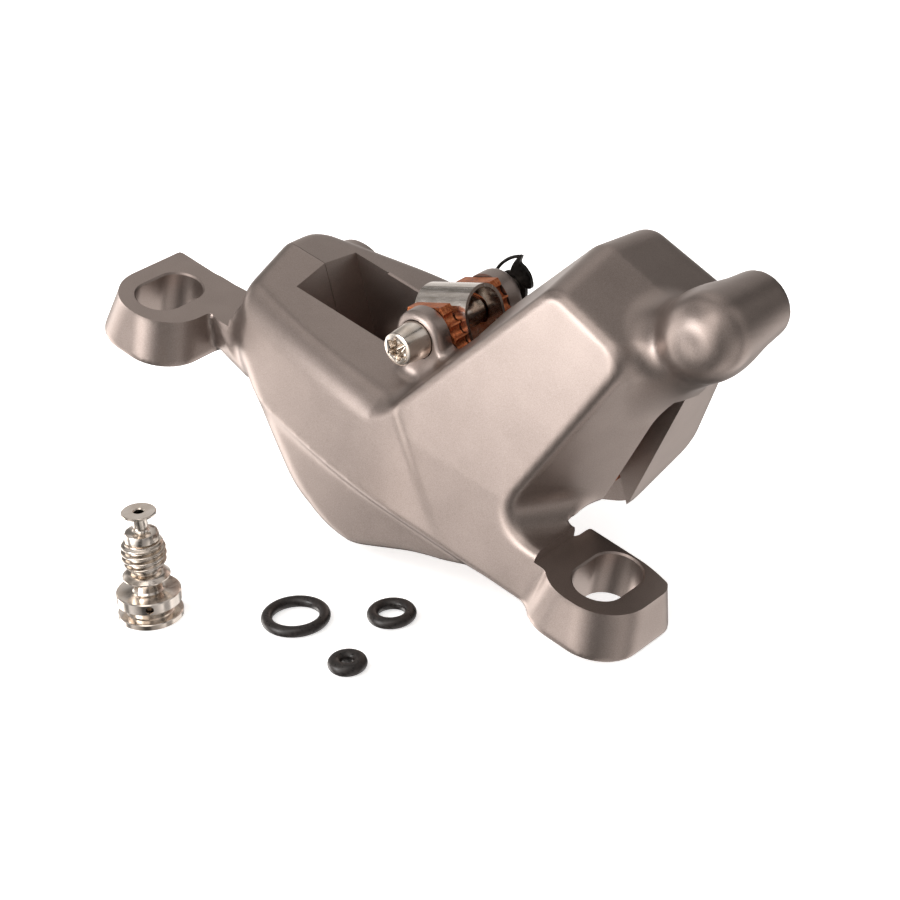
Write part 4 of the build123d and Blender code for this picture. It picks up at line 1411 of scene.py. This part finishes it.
@dataclass
class BleedScrew:
    """Bleed screw standing on the table: seal grooves, flange, rolled thread, tip disc and its bores.

    Each turned stretch is given by the height and radius of its rings, from the foot up.
    """

    finish: bpy.types.Material
    base: Point = (-7.567, -29.4, -19.692)
    way: Point = (-0.25459, 0.0, 0.96705)
    foot: tuple[Span, ...] = (
        (0, 3.9), (0.1, 4.04), (0.7, 4.04), (0.8, 3.94), (0.82, 3.0), (0.95, 2.85), (2.0, 2.85), (2.08, 2.95),
    )
    disc: tuple[Span, ...] = (
        (2.1, 3.86), (2.22, 3.99), (3.48, 3.99), (3.6, 3.86), (3.62, 2.25), (3.72, 1.98), (3.95, 1.8),
    )
    waist: tuple[Span, ...] = (
        (4.5, 1.76), (4.95, 1.84), (5.25, 2.05), (5.45, 2.4), (5.5, 2.78), (5.6, 2.94), (5.75, 2.94),
    )
    undercut: tuple[Span, ...] = (
        (6.05, 2.62), (6.3, 2.3), (6.4, 1.8), (6.55, 1.66), (6.85, 1.66), (7.0, 1.9),
    )
    collar: tuple[Span, ...] = (
        (10.6, 1.95), (10.72, 2.14), (11.35, 2.14), (11.7, 1.98), (11.93, 1.6), (11.97, 1.08), (12.15, 0.93),
    )
    tip: tuple[Span, ...] = (
        (13.8, 0.93), (14.05, 1.05), (14.13, 1.3), (14.15, 2.04), (14.22, 2.14), (14.42, 2.14),
        (14.5, 2.04),
    )
    thread_low: float = 7.1
    thread_high: float = 10.55
    thread_radius: float = 2.22
    thread_swell: float = 0.3
    pitch: float = 0.86
    depth: float = 0.27
    run_out: float = 0.4
    crest: float = 0.7
    sharp: float = 30.0
    bore_height: float = 9.5
    bore: tuple[Span, ...] = ((0, 0.6), (4.85, 0.6), (5.1, 0.82), (5.5, 1.0))
    cross_way: Point = (0.75, -0.66, 0.0)
    cross_height: float = 2.85
    cross_start: float = 2.0
    cross_bore: tuple[Span, ...] = ((0, 0.45), (1.85, 0.45), (2.4, 0.7))

    def thread(self, height: float, turn: float) -> float:
        """How far the thread stands out.

        Args:
            height: Height along the axis.
            turn: Turn about the axis in radians.

        Returns:
            What the radius grows by.
        """
        if not self.thread_low <= height <= self.thread_high:
            return 0.0
        to_end = min(height - self.thread_low, self.thread_high - height, self.run_out)
        phase = (height / self.pitch - turn / math.tau) % 1.0
        wave = math.cos(math.tau * phase)
        return self.depth * to_end / self.run_out * math.copysign(abs(wave) ** self.crest, wave)

    def barrel(self) -> tuple[Span, ...]:
        """Rings under the thread, a little fuller in the middle."""
        count, margin = 64, 4
        rise = (self.thread_high - self.thread_low) / count
        turns = [math.pi * (k + margin) / (count + 2 * margin) for k in range(count + 1)]
        radii = [self.thread_radius + self.thread_swell * math.sin(turn) for turn in turns]
        return tuple((self.thread_low + rise * k, radius) for k, radius in enumerate(radii))

    def build(self) -> None:
        """Make the screw and let it stand for the CAD node."""
        lower = self.foot + self.disc + self.waist + self.undercut
        stations = lower + self.barrel() + self.collar + self.tip
        screw = lathe("turned_bleed_screw", self.base, self.way, stations, self.thread)
        foot, up = Vector(self.base), Vector(self.way).normalized()
        bore = lathe("bore", tuple(foot + up * self.bore_height), self.way, self.bore)
        combine(screw, bore, Cut.TAKE_AWAY)
        across = Vector(self.cross_way).normalized()
        across = (across - up * across.dot(up)).normalized()
        spot = foot + up * self.cross_height + across * self.cross_start
        combine(screw, lathe("hole", tuple(spot), tuple(across), self.cross_bore), Cut.TAKE_AWAY)
        stand_in(screw, "bleed_screw", [self.finish], self.sharp)


@dataclass
class PadPin:
    """Pad pin: tapered head with a rounded lobed socket, a shank and a grooved tip, both painted black as the
    shade inside the spring.

    The pin and its socket are given by the height and radius of their rings.
    """

    bright: bpy.types.Material
    black: bpy.types.Material
    start_y: float = -0.6
    head: float = 4.0
    profile: tuple[Span, ...] = (
        (0.0, 1.9), (0.1, 2.08), (0.3, 2.15), (3.85, 2.52), (3.95, 2.45), (4.0, 2.0), (20.6, 2.0),
        (20.9, 1.7), (21.85, 1.7), (21.85, 1.3), (22.55, 1.3), (22.55, 1.6), (23.0, 1.6), (23.15, 1.45),
    )
    socket: tuple[Span, ...] = ((0, 1.75), (0.5, 1.5), (0.62, 1.34), (1.9, 1.3), (2.4, 0.4))
    socket_ahead: float = 0.5
    lobes: int = 6
    lobe_depth: float = 0.2

    def lobed(self, height: float, turn: float) -> float:
        """What the lobes add to the socket's radius at a turn, at any height."""
        return self.lobe_depth * math.cos(self.lobes * turn)

    def build(self) -> None:
        """Make the pin and let it stand for the CAD node."""
        pin = lathe("turned_pad_pin", PADS.place(*PADS.pin, self.start_y), (0, 1, 0), self.profile)
        paint_faces(pin, 0)
        # Faces past the head take the black finish, which is painted shade
        for polygon in pin.data.polygons:
            if polygon.center.y > (self.start_y + self.head) * MM:
                polygon.material_index = 1
        front = PADS.place(*PADS.pin, self.start_y - self.socket_ahead)
        combine(pin, lathe("socket", front, (0, 1, 0), self.socket, self.lobed), Cut.TAKE_AWAY)
        stand_in(pin, "pad_pin", [self.bright, self.black])


@dataclass
class PinClip:
    """Wire clip at the pin's tip: a flat ring, a leaf that rises from it and a curled wire end."""

    finish: bpy.types.Material
    y: float = 21.6
    half: float = 0.25
    ring_radius: float = 2.3
    hole_radius: float = 1.35
    hole_half: float = 1.0
    wire_radius: float = 0.22
    wire: tuple[Span, ...] = ((4.71, 12.33), (6.1, 13.56), (7.69, 14.39), (8.97, 14.72), (10.17, 14.82))
    leaf: tuple[Span, ...] = (
        (10.34, 14.86), (9.75, 14.8), (8.43, 13.73), (7.9, 12.79), (8.1, 11.7), (9.2, 10.9), (10.65, 10.56),
        (10.9, 12.04), (10.39, 13.23), (9.75, 13.98),
    )

    def disc(self, name: str, radius: float, half: float) -> bpy.types.Object:
        """Make a disc round the pin.

        Args:
            name: Name of the object.
            radius: Its radius.
            half: Half of its thickness.

        Returns:
            The new closed object.
        """
        base = PADS.place(*PADS.pin, self.y - half)
        return lathe(name, base, (0, 1, 0), ((0, radius), (2 * half, radius)))

    def build(self) -> None:
        """Make the clip and let it stand for the CAD node."""
        path = [PADS.place(a, u, self.y) for a, u in curved(self.wire)]
        clip = tube("sprung_pin_clip", path, self.wire_radius)
        outline = curved(list(self.leaf) + [self.leaf[0]], 8)[:-1]
        count = len(outline)
        points = [PADS.place(a, u, self.y + side * self.half) for side in (-1, 1) for a, u in outline]
        faces = [tuple(range(count)), tuple(range(count, 2 * count))[::-1]]
        faces += [((k + 1) % count, k, count + k, count + (k + 1) % count) for k in range(count)]
        ring = self.disc("ring", self.ring_radius, self.half)
        combine(ring, self.disc("hole", self.hole_radius, self.hole_half), Cut.TAKE_AWAY)
        combine(clip, mesh_of("leaf", points, faces), Cut.JOIN)
        combine(clip, ring, Cut.JOIN)
        stand_in(clip, "pin_clip", [self.finish])


@dataclass
class PadSpring:
    """Sheet spring over the pin, bright outside, with painted shade on its inside and underside."""

    bright: bpy.types.Material
    dark: bpy.types.Material
    middle_y: float = 11.0
    squeezed: float = 0.66
    inward_least: float = 0.3
    down_least: float = 0.25

    def build(self, cad_spring: bpy.types.Object) -> None:
        """Copy the CAD sheet, paint shade on its inside and underside and let the copy stand for it.

        Args:
            cad_spring: The node's object.
        """
        sheet = copy_of(cad_spring, "folded_pad_spring")
        # Faces that turn in towards the pin or face down get the dark finish as painted shade
        for polygon in sheet.data.polygons:
            inwards = self.middle_y * MM - polygon.center.y
            inside = polygon.normal.y * inwards > self.inward_least * abs(inwards)
            polygon.material_index = int(inside or polygon.normal.z < -self.down_least)
        stand_in(sheet, "pad_spring", [self.bright, self.dark])
        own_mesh(sheet)


@dataclass
class Studio:
    """Pale tilted table that the caliper lies on, a soft tent of light and the camera.

    Each panel is a direction and a strength, fitted to how bright the photograph's metal is in the
    directions that it reflects. Each lamp has a name, place, size, power and whether metal mirrors it.
    """

    touch: Point = (43.3, 0.0, -6.3)
    tilt_degrees: float = 14.75
    floor_half: float = 1500.0
    sink: float = 0.02
    camera_at: Point = (146.567, -195.059, 181.454)
    right: Point = (0.7485, 0.6478, 0.1420)
    up: Point = (-0.4824, 0.3850, 0.7868)
    forward: Point = (-0.45498, 0.65741, -0.60068)
    lens_mm: float = 97.68
    tent_colour: str = "#FFFAF6"
    tent_base: float = 0.3
    tent_least: float = 0.05
    panel_spread: float = 10.0
    card_count: float = 5.0
    card_wave: Span = (0.2, 0.75)
    card_light: Span = (1.25, 0.35)
    panels: tuple[tuple[float, float, float, float], ...] = (
        (0.41, 0.55, 0.72, 0.26),
        (-0.75, -0.52, -0.4, -0.2),
        (0.48, 0.74, -0.46, 0.37),
        (-0.83, -0.23, 0.5, -0.29),
        (0.04, 0.99, 0.1, -0.25),
        (0.06, -0.54, -0.84, -0.39),
        (-0.86, 0.28, -0.42, 0.15),
        (-0.34, -0.94, -0.07, 2.33),
        (0.82, -0.1, 0.56, -0.13),
        (-0.8, -0.1, -0.6, 3.23),
        (-0.21, 0.39, -0.9, -1.37),
        (0.41, -0.14, -0.9, 0.66),
        (-0.17, 0.79, -0.58, 0.89),
        (0.21, -0.97, -0.1, -0.28),
        (0.92, 0.33, -0.2, 0.95),
        (-0.95, -0.3, -0.09, -0.01),
        (-0.59, -0.75, -0.29, 0.09),
        (0.15, -0.77, 0.62, 0.43),
        (-0.06, -0.52, 0.85, 1.39),
        (-0.73, 0.22, 0.65, 0.66),
        (0.32, 0.48, -0.82, 0.79),
        (0.61, 0.79, 0.07, -0.29),
        (-0.7, 0.6, -0.38, 0.38),
        (-0.2, -0.93, 0.3, 0.39),
    )
    lights: tuple[tuple[str, Point, float, float, bool], ...] = (
        ("key_light", (-420.0, -180.0, 200.0), 260.0, 1.2, False),
        ("rim_light", (-60.0, 420.0, 200.0), 320.0, 0.8, False),
        ("near_panel", (-70.0, -176.0, 24.0), 90.0, 0.13, True),
    )

    def table_normal(self) -> Vector:
        """Direction square to the table."""
        tilt = math.radians(self.tilt_degrees)
        return Vector((-math.sin(tilt), 0.0, math.cos(tilt)))

    def build_table(self) -> None:
        """Large square sheet under the caliper."""
        normal = self.table_normal()
        along = Vector((normal.z, 0.0, -normal.x))
        across = Vector((0.0, 1.0, 0.0))
        start = Vector(self.touch) - normal * self.sink
        reach = self.floor_half
        ways = ((-1, -1), (1, -1), (1, 1), (-1, 1))
        corners = [start + along * a * reach + across * b * reach for a, b in ways]
        table = mesh_of("table", [tuple(c) for c in corners], [(0, 1, 2, 3)])
        table.data.materials.append(StudioFloor().build())
        table.visible_glossy = False

    def build_tent(self) -> None:
        """World light as the photograph's metal shows it: soft panels and dark cards."""
        world = bpy.data.worlds.new("tent")
        bpy.context.scene.world = world
        world.use_nodes = True
        tree = world.node_tree
        way = node(tree, "ShaderNodeTexCoord").outputs["Generated"]
        glow = self.tent_base
        for *facing, power in self.panels:
            towards = node(tree, "ShaderNodeVectorMath", {"operation": "DOT_PRODUCT"}, i0=way, i1=facing)
            near = towards.outputs["Value"]
            fall = maths(tree, "MULTIPLY_ADD", near, self.panel_spread, -self.panel_spread)
            glow = maths(tree, "MULTIPLY_ADD", maths(tree, "EXPONENT", fall), power, glow)
        parts = node(tree, "ShaderNodeSeparateXYZ", Vector=way).outputs
        turn = maths(tree, "ARCTAN2", parts["Y"], parts["X"])
        wave = maths(tree, "SINE", maths(tree, "MULTIPLY", turn, self.card_count))
        ends = dict(zip(("From_Min", "From_Max", "To_Min", "To_Max"), self.card_wave + self.card_light))
        cards = node(tree, "ShaderNodeMapRange", Value=wave, **ends).outputs["Result"]
        total = maths(tree, "MULTIPLY", maths(tree, "MAXIMUM", glow, self.tent_least), cards)
        background = tree.nodes["Background"]
        background.inputs["Color"].default_value = linear(self.tent_colour)
        tree.links.new(total, background.inputs["Strength"])

    def build_lights(self) -> None:
        """Large soft boxes, each aimed at the caliper."""
        for name, place, size, power, mirrored in self.lights:
            lamp = bpy.data.lights.new(name, "AREA")
            lamp.shape = "SQUARE"
            lamp.size = size * MM
            lamp.energy = power
            obj = bpy.data.objects.new(name, lamp)
            bpy.context.collection.objects.link(obj)
            obj.location = [c * MM for c in place]
            obj.rotation_euler = Vector([-c for c in place]).to_track_quat("-Z", "Y").to_euler()
            obj.visible_glossy = mirrored

    def build_camera(self) -> None:
        """Camera at the photograph's place, with its roll."""
        lens = bpy.data.cameras.new("camera")
        lens.lens = self.lens_mm
        lens.clip_start = 0.01
        camera = bpy.data.objects.new("camera", lens)
        bpy.context.collection.objects.link(camera)
        backward = Vector(self.forward) * -1
        turn = Matrix((self.right, self.up, backward)).transposed().to_4x4()
        turn.translation = [c * MM for c in self.camera_at]
        camera.matrix_world = turn
        bpy.context.scene.camera = camera

    def build(self) -> None:
        """Make everything that isn't the caliper."""
        self.build_camera()
        self.build_table()
        self.build_tent()
        self.build_lights()
        bpy.context.scene.view_settings.view_transform = "Standard"


def dress(nodes: dict, names: Iterable[str], material: bpy.types.Material) -> None:
    """Give a finish to CAD nodes whose shape stays.

    Args:
        nodes: The frame's objects by name.
        names: Names of the nodes to dress.
        material: The finish.
    """
    for name in names:
        for material_slot in nodes[name].material_slots:
            material_slot.material = material
        log.info("%s: dressed with %s", name, material.name)


def main() -> None:
    """Build the studio and dress the caliper."""
    logging.basicConfig(level=logging.INFO, format="%(name)s: %(message)s")
    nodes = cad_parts
    Studio().build()
    blasted, milled, shaded = BlastedAnodise().build(), MilledAnodise().build(), CavityPaintedShade().build()
    CastBody(blasted, milled, shaded).build()
    steel, sheet, black_oxide_and_shade = TurnedSteel().build(), SheetSteel().build(), BlackOxideAndShade().build()
    BleedScrew(steel).build()
    PadPin(steel, black_oxide_and_shade).build()
    PinClip(black_oxide_and_shade).build()
    PadSpring(sheet, black_oxide_and_shade).build(nodes["pad_spring"])
    dress(nodes, ("body_bolt_left", "body_bolt_right"), steel)
    dress(nodes, ("inboard_backing_plate", "outboard_backing_plate"), CopperPlate().build())
    dress(nodes, ("inboard_lining", "outboard_lining"), SinteredLining().build())
    pistons = [f"{side}_piston_{end}" for side in ("inboard", "outboard") for end in ("leading", "trailing")]
    dress(nodes, pistons, PhenolicPiston().build())
    seals = [name for name in nodes if "seal" in name]
    dress(nodes, seals, NitrileRubber().build())


if __name__ == "__main__":
    main()
